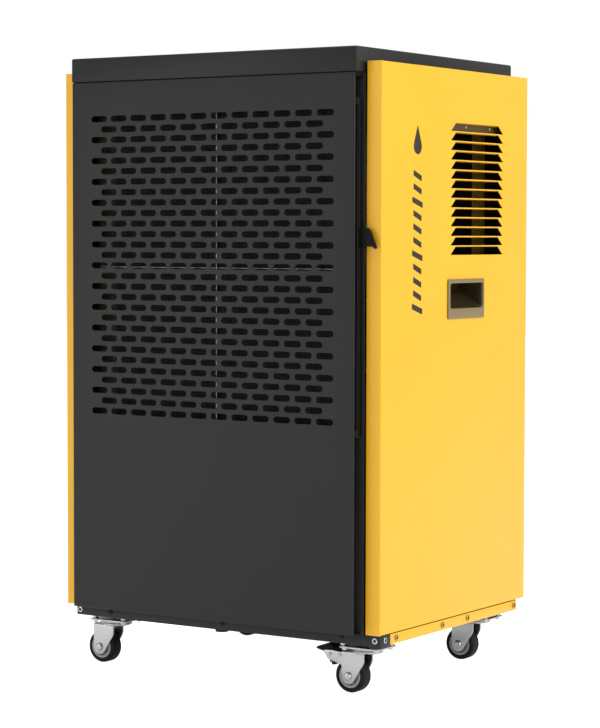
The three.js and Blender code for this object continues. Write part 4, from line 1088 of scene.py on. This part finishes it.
def slot_tree():
    """A sheet within its base's edges, punched by two interlaced grids of round-ended slots."""
    tree, given = new_tree("punched_sheet", {
        "Columns": ("Int", 2), "Rows": ("Int", 2), "Pitch X": ("Float", 0.04), "Pitch Y": ("Float", 0.03),
        "Length": ("Float", 0.03), "Height": ("Float", 0.01), "Middle": ("Vector", None)})
    fewer = [node(tree, "ShaderNodeMath", {0: given[label], 1: 1.0}, operation="SUBTRACT").outputs[0]
             for label in ("Columns", "Rows")]
    grids = together(tree, [
        grid_of(tree, given["Columns"], given["Rows"], given["Pitch X"], given["Pitch Y"]),
        grid_of(tree, fewer[0], fewer[1], given["Pitch X"], given["Pitch Y"])])
    placed = node(tree, "GeometryNodeTransform", {"Geometry": grids, "Translation": given["Middle"]})
    box = node(tree, "GeometryNodeCurvePrimitiveQuadrilateral", {
        "Width": given["Length"], "Height": given["Height"]}, mode="RECTANGLE")
    end = node(tree, "ShaderNodeMath", {0: given["Height"], 1: 0.4995}, operation="MULTIPLY")
    slot = node(tree, "GeometryNodeFilletCurve", {
        "Curve": box.outputs["Curve"], "Radius": end.outputs[0], "Count": 5}, mode="POLY")
    slots = node(tree, "GeometryNodeInstanceOnPoints", {
        "Points": placed.outputs["Geometry"], "Instance": slot.outputs["Curve"]})
    edges = node(tree, "GeometryNodeMeshToCurve", {"Mesh": given["Geometry"]})
    return end_tree(tree, given, filled(tree, [edges.outputs["Curve"], slots.outputs["Instances"]]))


punched_sheet = slot_tree()


def front_panel():
    low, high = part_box("front_panel")
    outline = [(high.x, low.z), (high.x, high.z), (low.x, high.z), (low.x, low.z)]

    def place(x, z, drop):
        return Vector((x, low.y + drop, z))

    rim = folded_pan(outline, high.y - low.y, bend, place)
    hem = [place(x, z, 0.0024) for x, z in outline]
    face = [(point.x, point.z) for point in rim[0]]
    field = Vector((0, high.z - 0.0592 - (row_count - 1) * row_pitch / 2, 0))
    values = {"Columns": long_row, "Rows": (row_count + 1) // 2, "Pitch X": slot_pitch,
              "Pitch Y": 2 * row_pitch, "Length": slot_length, "Height": slot_height, "Middle": field}
    grille = flat_skin(punched_sheet, [face], values, lambda u, v, w: Vector((u, low.y, v)))
    walls = [ring[1:] + ring[:1] for ring in (hem, rim[-1])]
    return piece("intake_grille", [
        grille, loft(rim[:-1] + [hem], low_cap=False, high_cap=False),
        loft(walls, closed=False, low_cap=False, high_cap=False)],
        front_black, inside=(0, high.y + 0.1, (low.z + high.z) / 2), wall=panel_sheet)


grille = front_panel()
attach(grille, "root")
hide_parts("front_panel")

# ---- Lid
# A folded sheet steel pan, powder coated black, with a tight bend on all four sides.
# It sits on the cabinet between the side panels and stands a little above them.


def lid_pan():
    low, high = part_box("lid")
    outline = [(low.x, low.y), (high.x, low.y), (high.x, high.y), (low.x, high.y)]
    rim = folded_pan(outline, high.z - low.z, 0.0028, lambda x, y, drop: Vector((x, y, high.z - drop)))
    return piece("lid_pan", [loft(rim, low_cap=False, high_cap=False), (rim[0], [(0, 1, 2, 3)])], black_steel,
                 inside=(0, 0, low.z - 0.2), wall=panel_sheet, edge=0.0003)


lid = lid_pan()
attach(lid, "root")
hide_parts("lid")

# ---- Side signs
# A plain printed sign stands upright on each side panel: a water drop over a run of slanted bars.
# It is screen printed in dark brown ink, a tenth of a millimetre thick.

sign_ink = finish("brown_black_ink", (0.022, 0.012, 0.004), 0.5, 0.0008, 0.00002, mottle=0.08)


def printed_sign(side):
    """Shapes are (across, up) in the sign's own frame, where across runs towards the front."""
    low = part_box("side_panel_right")[0]
    middle, foot = low.y + 0.1075, low.z + 0.484
    shapes = []
    for bar in range(11):
        rise, reach = 0.0205 * bar, 0.0125 if bar % 4 else 0.0160
        shapes.append(filleted([(-reach, rise), (reach, rise + 0.009), (reach, rise + 0.018),
                                (-reach, rise + 0.009)], 0.0012, 3))
    tip, belly, belly_drop = 0.292, 0.0125, 0.033
    drop = [Vector((0.0, tip))]
    for step in range(17):
        turn = math.radians(-25 + 230 * step / 16)
        drop.append(Vector((-belly * math.cos(turn), tip - belly_drop - belly * math.sin(turn))))
    shapes.append(drop)
    skins = []
    for shape in shapes:
        outer = [[Vector((side * x, middle - side * across, foot + up)) for across, up in shape]
                 for x in (panel_face, panel_face + 0.0001)]
        skins.append(loft(outer))
    return piece("printed_sign_right" if side > 0 else "printed_sign_left", skins, sign_ink)


for side in (1, -1):
    sign = printed_sign(side)
    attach(sign, "root")

# ---- Rear posts and air baffle
# Folded steel channels stiffen the back, in a yellow-green primer. The black baffle behind the grille carries
# the filter's two channels. Both are bent from thin sheet and riveted in.

primed_steel = finish("olive_primer", (0.55, 0.42, 0.07), 0.5, 0.001, 0.00006, mottle=0.1,
                      worn=(0.3, 0.28, 0.2), wear=0.3)
baffle_black = finish("black_baffle_coat", (0.012, 0.0122, 0.013), 0.6, 0.0011, 0.0001, mottle=0.08)


def softened(name, source, radius, material, crease=30):
    """A piece with the frame's own shape, whose flat areas are whole and whose folds are rounded over."""
    cage = bmesh.new()
    cage.from_mesh(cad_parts[source].data)
    cage.transform(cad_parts[source].matrix_world)
    bmesh.ops.remove_doubles(cage, verts=cage.verts, dist=1e-6)
    bmesh.ops.dissolve_limit(cage, angle_limit=math.radians(0.4), verts=cage.verts, edges=cage.edges)
    mesh = bpy.data.meshes.new(name)
    cage.to_mesh(mesh)
    cage.free()
    made = bpy.data.objects.new(name, mesh)
    stage.collection.objects.link(made)
    mesh.materials.clear()
    mesh.materials.append(material)
    return dressed(made, 0.0, radius, crease)


for source, name, material, finish_slot in (
        ("rear_post_left", "post_left", primed_steel, "black_paint"),
        ("rear_post_right", "post_right", primed_steel, "black_paint"),
        ("front_frame", "air_baffle", baffle_black, "black_paint")):
    made = softened(name, source, 0.0003, material)
    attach(made, "root")
    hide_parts(source)

# ---- Louvre rails
# A primed steel rail stiffens each side panel behind its first louvre, held by two plated rivets.
# It stands on edge just inside the blades' tips.

rail_place, rail_length, rail_face = 0.205, 0.188, 0.2870
# The rail's primer is painted far darker than the posts' olive, as the shade inside the panel.
rail_primer_painted_shade = finish("dark_olive_primer", (0.085, 0.062, 0.014), 0.5, 0.001, 0.00006, mottle=0.15)


def louvre_rail(side):
    low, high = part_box("side_panel_right")
    top = high.z - first_louvre + 0.004
    start = low.y + rail_place
    rail = rounded_bar((start, start + rail_length), (top - 0.018, top + 0.016),
                       (side * 0.2858, side * rail_face), lambda a, b, c: Vector((c, a, b)), 0.002)
    return piece("louvre_rail_right" if side > 0 else "louvre_rail_left", [rail], rail_primer_painted_shade, edge=0.0003)


rails = [louvre_rail(side) for side in (1, -1)]
rail_low, rail_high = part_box("side_panel_right")
rivet_level = rail_high.z - first_louvre - 0.0055
rail_rivets = scattered("rail_rivets", head, [
    (Vector((side * rail_face, rail_low.y + rail_place + along, rivet_level)), (side, 0, 0))
    for side in (-1, 1) for along in (0.078, 0.158)], zinc_plate, 0.5)
for made, finish_slot in ((rails[0], "galvanised"), (rails[1], "galvanised"), (rail_rivets, "zinc")):
    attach(made, "root")

# ---- Lid seal
# A strip of black foam closes the seam under the lid, just inside the folded edges of the lid and the panels.

foam = finish("black_foam", (0.010, 0.010, 0.010), 0.9, 0.0009, 0.0002, mottle=0.2, specular=0.1)


def lid_seal():
    low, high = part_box("lid")
    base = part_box("rear_panel")[1].z
    inset = 0.0018
    rings = []
    for inside, z in ((0, base - 0.006), (0, low.z + 0.004), (0.004, low.z + 0.004), (0.004, base - 0.006)):
        away = inset + inside
        rings.append([Vector((x, y, z)) for x, y in (
            (low.x + away, low.y + away), (high.x - away, low.y + away),
            (high.x - away, high.y - away), (low.x + away, high.y - away))])
    return piece("lid_seal", [loft(rings, low_cap=False, high_cap=False, joined=True)], foam)


seal = lid_seal()
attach(seal, "root")

# ---- Rear panel
# A black folded pan that closes the back, screwed on round its edge.
# It has one opening behind the control fascia and a round hole each for the cable gland and the drain spout.


def plain_tree():
    """A flat sheet inside its base's outer edges, with its inner loops as holes."""
    tree, given = new_tree("cut_sheet", {})
    edges = node(tree, "GeometryNodeMeshToCurve", {"Mesh": given["Geometry"]})
    return end_tree(tree, given, filled(tree, [edges.outputs["Curve"]]))


cut_sheet = plain_tree()


def circle(x, z, radius, count=32):
    return [(x + radius * math.cos(2 * math.pi * step / count),
             z + radius * math.sin(2 * math.pi * step / count)) for step in range(count)]


def middle_of(source):
    low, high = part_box(source)
    return (low + high) / 2


def rear_panel():
    low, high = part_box("rear_panel")
    fascia_low, fascia_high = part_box("control_fascia")
    spout, gland = middle_of("drain_spout"), middle_of("cable_gland")
    outline = [(low.x, low.z), (high.x, low.z), (high.x, high.z), (low.x, high.z)]
    rim = folded_pan(outline, high.y - low.y, bend, lambda x, z, drop: Vector((x, high.y - drop, z)))
    loops = [[(point.x, point.z) for point in rim[0]],
             rounded_rectangle((fascia_low.x + 0.01, fascia_high.x - 0.01),
                               (fascia_low.z + 0.01, fascia_high.z - 0.01), 0.003),
             circle(spout.x, spout.z, 0.0088), circle(gland.x, gland.z, 0.0103)]
    back = flat_skin(cut_sheet, loops, {}, lambda u, v, w: Vector((u, high.y, v)))
    return piece("back_panel", [back, loft(rim, low_cap=False, high_cap=False)], black_steel,
                 inside=(0, low.y - 0.3, (low.z + high.z) / 2), wall=panel_sheet)


back_panel = rear_panel()
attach(back_panel, "root")
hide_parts("rear_panel")

back_low, back_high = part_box("rear_panel")
back_places = [(x, z) for x in (-0.258, 0.258) for z in (0.13, 0.34, 0.55, 0.76, 0.93)]
back_places += [(x, z) for x in (-0.13, 0.13) for z in (back_low.z + 0.011, back_high.z - 0.011)]
back_screws = scattered("back_screws", head, [
    (Vector((x, back_high.y, z)), (0, 1, 0)) for x, z in back_places], black_screw, 0.8)
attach(back_screws, "root")

# ---- Controls
# A moulded black fascia on the back holds a readout on a smoked window, four sprung keys and a mains rocker.
# The keys have raised marks: a ring, a line, and arrows down and up. Two screws hold the fascia.

smoked_window = finish("smoked_window", (0.006, 0.008, 0.010), 0.12, 0.004, 0.00001, coat=1.0, mottle=0.1)
key_grey = finish("key_grey_plastic", (0.30, 0.305, 0.31), 0.45, 0.0008, 0.00006, mottle=0.05)
mark_white = finish("white_mark", (0.75, 0.75, 0.75), 0.5, 0.0008, 0.00002, mottle=0.04)


def lit_green():
    material = finish("lit_segment", (0.02, 0.10, 0.05), 0.4, 0.0006, 0.00001, mottle=0.1)
    shader = material.node_tree.nodes["Principled BSDF"]
    shader.inputs["Emission Color"].default_value = (0.10, 0.75, 0.32, 1.0)
    shader.inputs["Emission Strength"].default_value = 0.7
    return material


readout_green = lit_green()
key_names = ("button_power", "button_mode", "button_down", "button_up")


def control_fascia():
    low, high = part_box("control_fascia")
    window_low, window_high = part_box("display_window")
    rocker = middle_of("mains_rocker")
    loops = [rounded_rectangle((low.x, high.x), (low.z, high.z), 0.006),
             rounded_rectangle((window_low.x - 0.0003, window_high.x + 0.0003),
                               (window_low.z - 0.0003, window_high.z + 0.0003), 0.0008, 3),
             rounded_rectangle((rocker.x - 0.0076, rocker.x + 0.0076), (rocker.z - 0.0136, rocker.z + 0.0136),
                               0.0008, 3)]
    loops += [circle(middle_of(key).x, middle_of(key).z, 0.0084) for key in key_names]
    face = flat_skin(cut_sheet, loops, {}, lambda u, v, w: Vector((u, high.y, v)))
    return piece("fascia_plate", [face], grained_black, inside=(0, low.y - 0.1, low.z + 0.05),
                 wall=high.y - low.y, edge=0.0006)


def key_cap(source):
    low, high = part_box(source)
    middle = (low + high) / 2
    place = Matrix.Translation((middle.x, low.y, middle.z)) @ Matrix.Rotation(math.radians(-90), 4, "X")
    tall = high.y - low.y
    cap = filleted([(0, 0), (0.010, 0), (0.010, 0.0012), (0.008, 0.0012), (0.008, tall - 0.0004),
                    (0.0072, tall - 0.0003), (0, tall - 0.0008)], 0.0002, 2, closed=False)
    return piece(source + "_cap", [turned(cap, place, 40)], key_grey)


def key_mark(source, shape):
    """A raised mark on a key: flat polygons drawn across and up from the key's middle."""
    low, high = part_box(source)
    middle = (low + high) / 2
    skins = [loft([[Vector((middle.x - across, y, middle.z + up)) for across, up in flat]
                   for y in (high.y - 0.0009, high.y - 0.0002)]) for flat in shape]
    return piece(source + "_mark", skins, mark_white)


def ring_mark():
    outer, inner = 0.0032, 0.0026
    steps = []
    for index in range(24):
        start, end = (math.radians(115 + 310 * step / 24) for step in (index, index + 1))
        steps.append([(radius * math.cos(turn), radius * math.sin(turn)) for radius, turn in (
            (outer, start), (outer, end), (inner, end), (inner, start))])
    return steps + [[(-0.0003, 0.001), (0.0003, 0.001), (0.0003, 0.0036), (-0.0003, 0.0036)]]


def readout():
    """Two seven-segment figures on the window: a five and a nought."""
    low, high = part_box("display_window")
    middle = (low + high) / 2
    places = {"a": (0, 0.0085), "g": (0, 0), "d": (0, -0.0085), "f": (0.0042, 0.0042),
              "b": (-0.0042, 0.0042), "e": (0.0042, -0.0042), "c": (-0.0042, -0.0042)}
    skins = []
    for left, lit in ((0.004, "afgcd"), (-0.012, "abcdef")):
        for segment in lit:
            across, up = places[segment]
            wide, tall = (0.0007, 0.0034) if across else (0.0034, 0.0007)
            x, z = middle.x + left + 0.004 + across, middle.z + up
            section = rounded_rectangle((x - wide, x + wide), (z - tall, z + tall), 0.0006, 2)
            skins.append(loft([[Vector((a, y, b)) for a, b in section]
                               for y in (high.y - 0.0001, high.y + 0.0001)]))
    return piece("readout_figures", skins, readout_green)


fascia = control_fascia()
window = softened("smoked_pane", "display_window", 0.0004, smoked_window)
figures = readout()
rocker = softened("rocker_cap", "mains_rocker", 0.0006, grained_black)
wiring_box = softened("wiring_box", "electrical_box", 0.0015, black_steel)
fascia_low, fascia_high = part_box("control_fascia")
fascia_screws = scattered("fascia_screws", head, [
    (Vector((x, fascia_high.y, fascia_high.z - 0.012)), (0, 1, 0)) for x in (-0.09, 0.09)], black_screw, 0.6)
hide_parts("control_fascia")
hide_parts("display_window")
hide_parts("mains_rocker")
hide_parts("electrical_box")
for made, body, finish_slot in (
        (fascia, "root", "black_plastic"), (window, "root", "display_window"),
        (figures, "root", "display_window"), (rocker, "rocker", "black_plastic"),
        (wiring_box, "root", "galvanised"), (fascia_screws, "root", "black_paint")):
    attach(made, body)
marks = {
    "button_power": ring_mark(),
    "button_mode": [[(-0.003, -0.0005), (0.003, -0.0005), (0.003, 0.0005), (-0.003, 0.0005)]],
    "button_down": [[(-0.0028, 0.0016), (0, -0.0022), (0.0028, 0.0016)]],
    "button_up": [[(-0.0028, -0.0016), (0.0028, -0.0016), (0, 0.0022)]],
}
for key in key_names:
    cap = key_cap(key)
    mark = key_mark(key, marks[key])
    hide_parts(key)
    for made in (cap, mark):
        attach(made, key.replace("button_", "") + "_button")

# ---- Drain spout and cable gland
# Both are moulded in black nylon and clamped through the back. The spout has a flange and two hose barbs.
# The gland has a fluted nut and a domed top.


def drain_spout():
    low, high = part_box("drain_spout")
    middle = (low + high) / 2
    place = Matrix.Translation((middle.x, low.y, middle.z)) @ Matrix.Rotation(math.radians(-90), 4, "X")
    tall = high.y - low.y
    wide = (high.x - low.x) / 2
    seat = 0.010
    tail = 0.0075
    profile = [(0.006, 0), (0.0085, 0), (0.0085, seat), (wide, seat), (wide, seat + 0.0022),
               (wide - 0.0008, seat + 0.003), (tail + 0.0012, seat + 0.003), (tail, seat + 0.0042)]
    for start in (tall - 0.0100, tall - 0.0055):
        profile += [(tail, start), (tail + 0.0015, start + 0.0003), (tail - 0.0002, start + 0.0044)]
    profile += [(0.0068, tall), (0.006, tall - 0.0004), (0.006, 0)]
    return piece("hose_spout", [turned(profile, place, 48)], grained_black, crease=40)


def cable_gland():
    low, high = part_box("cable_gland")
    middle = (low + high) / 2
    place = Matrix.Translation((middle.x, low.y, middle.z)) @ Matrix.Rotation(math.radians(-90), 4, "X")
    tall = high.y - low.y
    seat = 0.012
    stem = []
    for step in range(12):
        stem += [(0.0100, step * 0.001), (0.0095, step * 0.001 + 0.0005)]
    profile = [(0.006, 0)] + stem + [(0.0100, seat), (0.0100, tall - 0.003), (0.0088, tall - 0.0005),
                                     (0.0078, tall), (0.0062, tall - 0.0006), (0.006, 0)]
    loops = []
    for r, h in ((0.0101, seat + 0.0002), (0.0134, seat + 0.0002), (0.0140, seat + 0.001),
                 (0.0140, seat + 0.007), (0.0128, seat + 0.008), (0.0101, seat + 0.008),
                 (0.0101, seat + 0.0002)):
        loop = []
        for index in range(48):
            turn = 2 * math.pi * index / 48
            flute = 0.0005 * (0.5 + 0.5 * math.cos(12 * turn)) if r > 0.011 else 0.0
            out = r - flute - (0.0006 if r > 0.011 else 0)
            loop.append(place @ Vector((out * math.cos(turn), out * math.sin(turn), h)))
        loops.append(loop)
    return piece("threaded_gland", [turned(profile, place, 48), loft(loops, low_cap=False, high_cap=False)],
                 grained_black, crease=40)


for made, source in ((drain_spout(), "drain_spout"), (cable_gland(), "cable_gland")):
    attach(made, "root")
    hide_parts(source)

# ---- Coils
# Evaporator in front and condenser behind: thin aluminium fins on copper hairpins, between end plates.
# The return bends show outside the end plates. The coils stand in the galvanised drip tray.

galvanised = finish("galvanised_sheet", (0.42, 0.44, 0.45), 0.42, 0.006, 0.00003, metallic=1.0, mottle=0.25)
# The fins' near-black is painted shade, for the dark inside of the coils behind the grille.
fins_painted_shade = finish("blue_coated_fins", (0.035, 0.042, 0.050), 0.5, 0.0006, 0.00003, metallic=0.6,
                       mottle=0.15, stretch=(1, 1, 0.2))
copper_tube = finish("drawn_copper", (0.62, 0.28, 0.15), 0.32, 0.0008, 0.00003, metallic=1.0, mottle=0.15)
fin_pitch = 0.0030
hairpin_half, hairpin_radius, hairpin_rise, row_half = 0.011, 0.0042, 0.044, 0.018


def tube(path, radius, sides=16):
    """A skin round a path of points, with its rings carried along without twist."""
    loops = []
    across = None
    for index, here in enumerate(path):
        back = path[max(index - 1, 0)]
        on = path[min(index + 1, len(path) - 1)]
        along = (on - back).normalized()
        if across is None:
            across = along.orthogonal().normalized()
        across = (across - along * across.dot(along)).normalized()
        up = along.cross(across)
        loops.append([here + radius * (across * math.cos(2 * math.pi * step / sides)
                                       + up * math.sin(2 * math.pi * step / sides)) for step in range(sides)])
    return loft(loops)


def return_bend():
    """Half a turn of tube with a short straight at each end, standing on its Z axis."""
    half, straight = hairpin_half, 0.003
    path = [Vector((-half, 0, -0.002)), Vector((-half, 0, straight))]
    for step in range(1, 8):
        turn = math.pi * step / 8
        path.append(Vector((-half * math.cos(turn), 0, straight + half * math.sin(turn))))
    path += [Vector((half, 0, straight)), Vector((half, 0, -0.002))]
    return template_of("return_bend", tube(path, hairpin_radius, 10))


bend_template = return_bend()


def coil(source, name):
    low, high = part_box(source)
    middle = (low + high) / 2
    foot, crown = low.z + 0.005, high.z - 0.004
    count = int((high.x - low.x - 0.008) / fin_pitch)
    fins = row_of(name + "_fins", (middle.x - (count - 1) * fin_pitch / 2, middle.y, (foot + crown) / 2),
                  (fin_pitch, 0, 0), count, (0.0003, high.y - low.y - 0.006, crown - foot), fins_painted_shade)
    plates = []
    for side in (-1, 1):
        outer, inner = middle.x + side * (high.x - middle.x), middle.x + side * (high.x - middle.x - 0.002)
        plates.append(rounded_bar((low.y, high.y), (low.z, high.z), (inner, outer),
                                  lambda a, b, c: Vector((c, a, b)), 0.002))
    frames = piece(name + "_end_plates", plates, galvanised, edge=0.0002)
    levels = [foot + 0.035 + hairpin_rise * step for step in range(int((crown - foot - 0.05) / hairpin_rise))]
    rows = (middle.y - row_half, middle.y + row_half)
    pipes = []
    for z in levels:
        for y in rows:
            for way in (-hairpin_half, hairpin_half):
                run = [Vector((low.x + 0.001, y, z + way)), Vector((high.x - 0.001, y, z + way))]
                pipes.append(tube(run, hairpin_radius, 8))
    hairpins = piece(name + "_hairpins", pipes, copper_tube)
    places = [(Vector((x, y, z)), facing) for z in levels for y in rows
              for x, facing in ((high.x, (1, 0, 0)), (low.x, (-1, 0, 0)))]
    bends = scattered(name + "_bends", bend_template, places, copper_tube)
    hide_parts(source)
    for made, finish_slot in ((fins, "aluminium"), (frames, "aluminium"), (hairpins, "copper"),
                              (bends, "copper")):
        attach(made, "root")


coil("evaporator_coil", "evaporator")
coil("condenser_coil", "condenser")
drip_tray = softened("drip_tray_pan", "drip_tray", 0.0006, galvanised)
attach(drip_tray, "root")
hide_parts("drip_tray")

# ---- Fan
# A galvanised bulkhead with an inlet ring, a black five-bladed fan and its motor, and the tray's drain hose.
# The blades are moulded, twisted and swept a little; the motor's case is painted grey.

motor_grey = finish("motor_grey_paint", (0.10, 0.105, 0.11), 0.45, 0.0012, 0.0001, mottle=0.08,
                    worn=(0.3, 0.3, 0.3), wear=0.3)


def fan_wheel():
    low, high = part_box("fan_impeller")
    shaft = (low + high) / 2
    reach, root = 0.1852, 0.0535
    place = Matrix.Translation(shaft) @ Matrix.Rotation(math.radians(-90), 4, "X")
    boss = [(0.0066, -0.013), (0.048, -0.013), (0.054, -0.010), (0.055, -0.006), (0.055, 0.013),
            (0.051, 0.013), (0.051, -0.007), (0.0095, -0.007), (0.0095, 0.011), (0.0066, 0.011),
            (0.0066, -0.013)]
    skins = [turned(boss, place, 60)]
    for index in range(5):
        loops = []
        for step in range(9):
            share = step / 8
            radius = root + (reach - root) * share
            chord = 0.058 + 0.026 * math.sin(math.pi * min(1.0, 0.35 + share * 0.65))
            pitch, sweep = math.radians(30 - 12 * share), math.radians(9 * share * share)
            section = []
            for along, thick in ((-0.5, 0.0004), (-0.3, 0.0012), (0, 0.0015), (0.3, 0.0011), (0.5, 0.0003),
                                 (0.3, -0.0004), (0, -0.0006), (-0.3, -0.0005)):
                camber = 0.006 * (1 - 4 * along * along)
                run = along * chord
                turn = sweep + run * math.cos(pitch) / radius + index * 2 * math.pi / 5
                rise = run * math.sin(pitch) + (thick + camber) * math.cos(pitch)
                section.append(place @ Vector((radius * math.cos(turn), radius * math.sin(turn), rise)))
            loops.append(section)
        skins.append(loft(loops))
    return piece("moulded_fan", skins, grained_black, crease=50)


fan = fan_wheel()
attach(fan, "fan")
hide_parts("fan_impeller")
for source, name, material, radius, finish_slot in (
        ("fan_shroud", "bulkhead", galvanised, 0.0005, "galvanised"),
        ("fan_motor", "motor", motor_grey, 0.0012, "black_paint"),
        ("drain_pipe", "drain_hose", soft_rubber, 0.0, "black_plastic")):
    made = softened(name, source, radius, material)
    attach(made, "root")
    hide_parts(source)

# ---- Compressor and pipes
# A hermetic compressor: a deep-drawn black can on three rubber feet with its suction accumulator beside it.
# The copper suction and discharge pipes are bent from one length each and brazed to the coils.


def drawn_can(centre, radius, low, high, dome):
    """A can of two drawn halves with domed ends and the raised weld seam between them."""
    place = Matrix.Translation(Vector((centre.x, centre.y, 0)))
    profile = [(0.0, low)]
    for step in range(1, 8):
        turn = math.radians(90) * step / 7
        profile.append((radius * math.sin(turn), low + dome * (1 - math.cos(turn))))
    seam = low + (high - low) * 0.62
    profile += [(radius, seam - 0.003), (radius + 0.0012, seam - 0.002), (radius + 0.0012, seam + 0.002),
                (radius, seam + 0.003)]
    for step in range(8):
        turn = math.radians(90) * step / 7
        profile.append((radius * math.cos(turn) if step < 7 else 0.0, high - dome * (1 - math.sin(turn))))
    return turned(profile, place, 56)


can_x, bottle_offset = -0.120, 0.104


def compressor_unit():
    low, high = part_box("compressor")
    centre = Vector((can_x, middle_of("compressor").y, 0))
    bottom = low.z
    deck, foot_corner = bottom + 0.012, 0.106
    skins = [drawn_can(centre, 0.0708, deck + 0.005, high.z - 0.0148, 0.020),
             drawn_can(centre + Vector((bottle_offset, 0, 0)), 0.0276, bottom + 0.0448, bottom + 0.1748,
                       0.012)]
    points = []
    for index in range(3):
        turn = math.radians(30 + 120 * index)
        points.append((centre.x + foot_corner * math.cos(turn), centre.y + foot_corner * math.sin(turn)))
    foot_plate = [(point.x, point.y) for point in filleted(points, 0.022, 6)]
    skins.append(loft([[Vector((x, y, z)) for x, y in foot_plate] for z in (deck + 0.003, deck + 0.006)]))
    for x, top in ((centre.x, high.z), (centre.x + bottle_offset, bottom + 0.1890)):
        stub = Matrix.Translation((x, centre.y, 0))
        skins.append(turned([(0, top - 0.020), (0.006, top - 0.020), (0.006, top - 0.0005), (0.0055, top),
                             (0, top)], stub, 24))
    skins.append(rounded_bar((centre.x + 0.066, centre.x + 0.080), (centre.y - 0.008, centre.y + 0.008),
                             (bottom + 0.095, bottom + 0.115), upright, 0.001))
    return piece("compressor_can", skins, baffle_black, edge=0.0003)


def rubber_feet():
    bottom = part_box("compressor")[0].z
    centre = Vector((can_x, middle_of("compressor").y))
    spread = 0.078
    foot = [(0.0, 0.0), (0.0105, 0.0), (0.011, 0.0008), (0.011, 0.004), (0.0085, 0.0052), (0.0085, 0.0075),
            (0.011, 0.009), (0.0108, 0.0149), (0.0, 0.0149)]
    skins = []
    for index in range(3):
        turn = math.radians(30 + 120 * index)
        place = Matrix.Translation((centre.x + spread * math.cos(turn), centre.y + spread * math.sin(turn),
                                    bottom))
        skins.append(turned(foot, place, 28))
    return piece("compressor_feet", skins, soft_rubber)


can_body = compressor_unit()
feet = rubber_feet()
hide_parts("compressor")
for made, finish_slot in ((can_body, "black_paint"), (feet, "bung_rubber")):
    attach(made, "root")


def bent_pipe(source, name, radius, corners, turn_radius):
    """A pipe along straight runs with true bends between them."""
    path = filleted(corners, turn_radius, 8, closed=False)
    made = piece(name, [tube(path, radius, 20)], copper_tube)
    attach(made, "root")
    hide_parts(source)


def pipe_routes():
    can = middle_of("compressor").y
    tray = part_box("drip_tray")[0].z
    evaporator_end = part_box("evaporator_coil")[1].x + 0.0003
    condenser_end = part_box("condenser_coil")[0].x - 0.0003
    suction_low, suction_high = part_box("suction_pipe")
    suction_radius, discharge_radius = 0.006, 0.005
    right, left = suction_high.x - suction_radius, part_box("discharge_pipe")[0].x + discharge_radius
    low_run, high_run = tray - 0.023, tray - 0.010
    front, behind = middle_of("evaporator_coil").y, middle_of("condenser_coil").y
    start, top = can_x + bottle_offset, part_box("compressor")[1].z
    bent_pipe("suction_pipe", "suction_line", suction_radius, [
        Vector((start, can, suction_low.z)), Vector((start, can, low_run)), Vector((right, can, low_run)),
        Vector((right, front, low_run)), Vector((right, front, tray + 0.115)),
        Vector((evaporator_end, front, tray + 0.115))], 0.0185)
    bent_pipe("discharge_pipe", "discharge_line", discharge_radius, [
        Vector((can_x, can, top + 0.0003)), Vector((can_x, can, high_run)), Vector((left, can, high_run)),
        Vector((left, behind, high_run)), Vector((left, behind, tray + 0.135)),
        Vector((condenser_end, behind, tray + 0.135))], 0.0145)


pipe_routes()
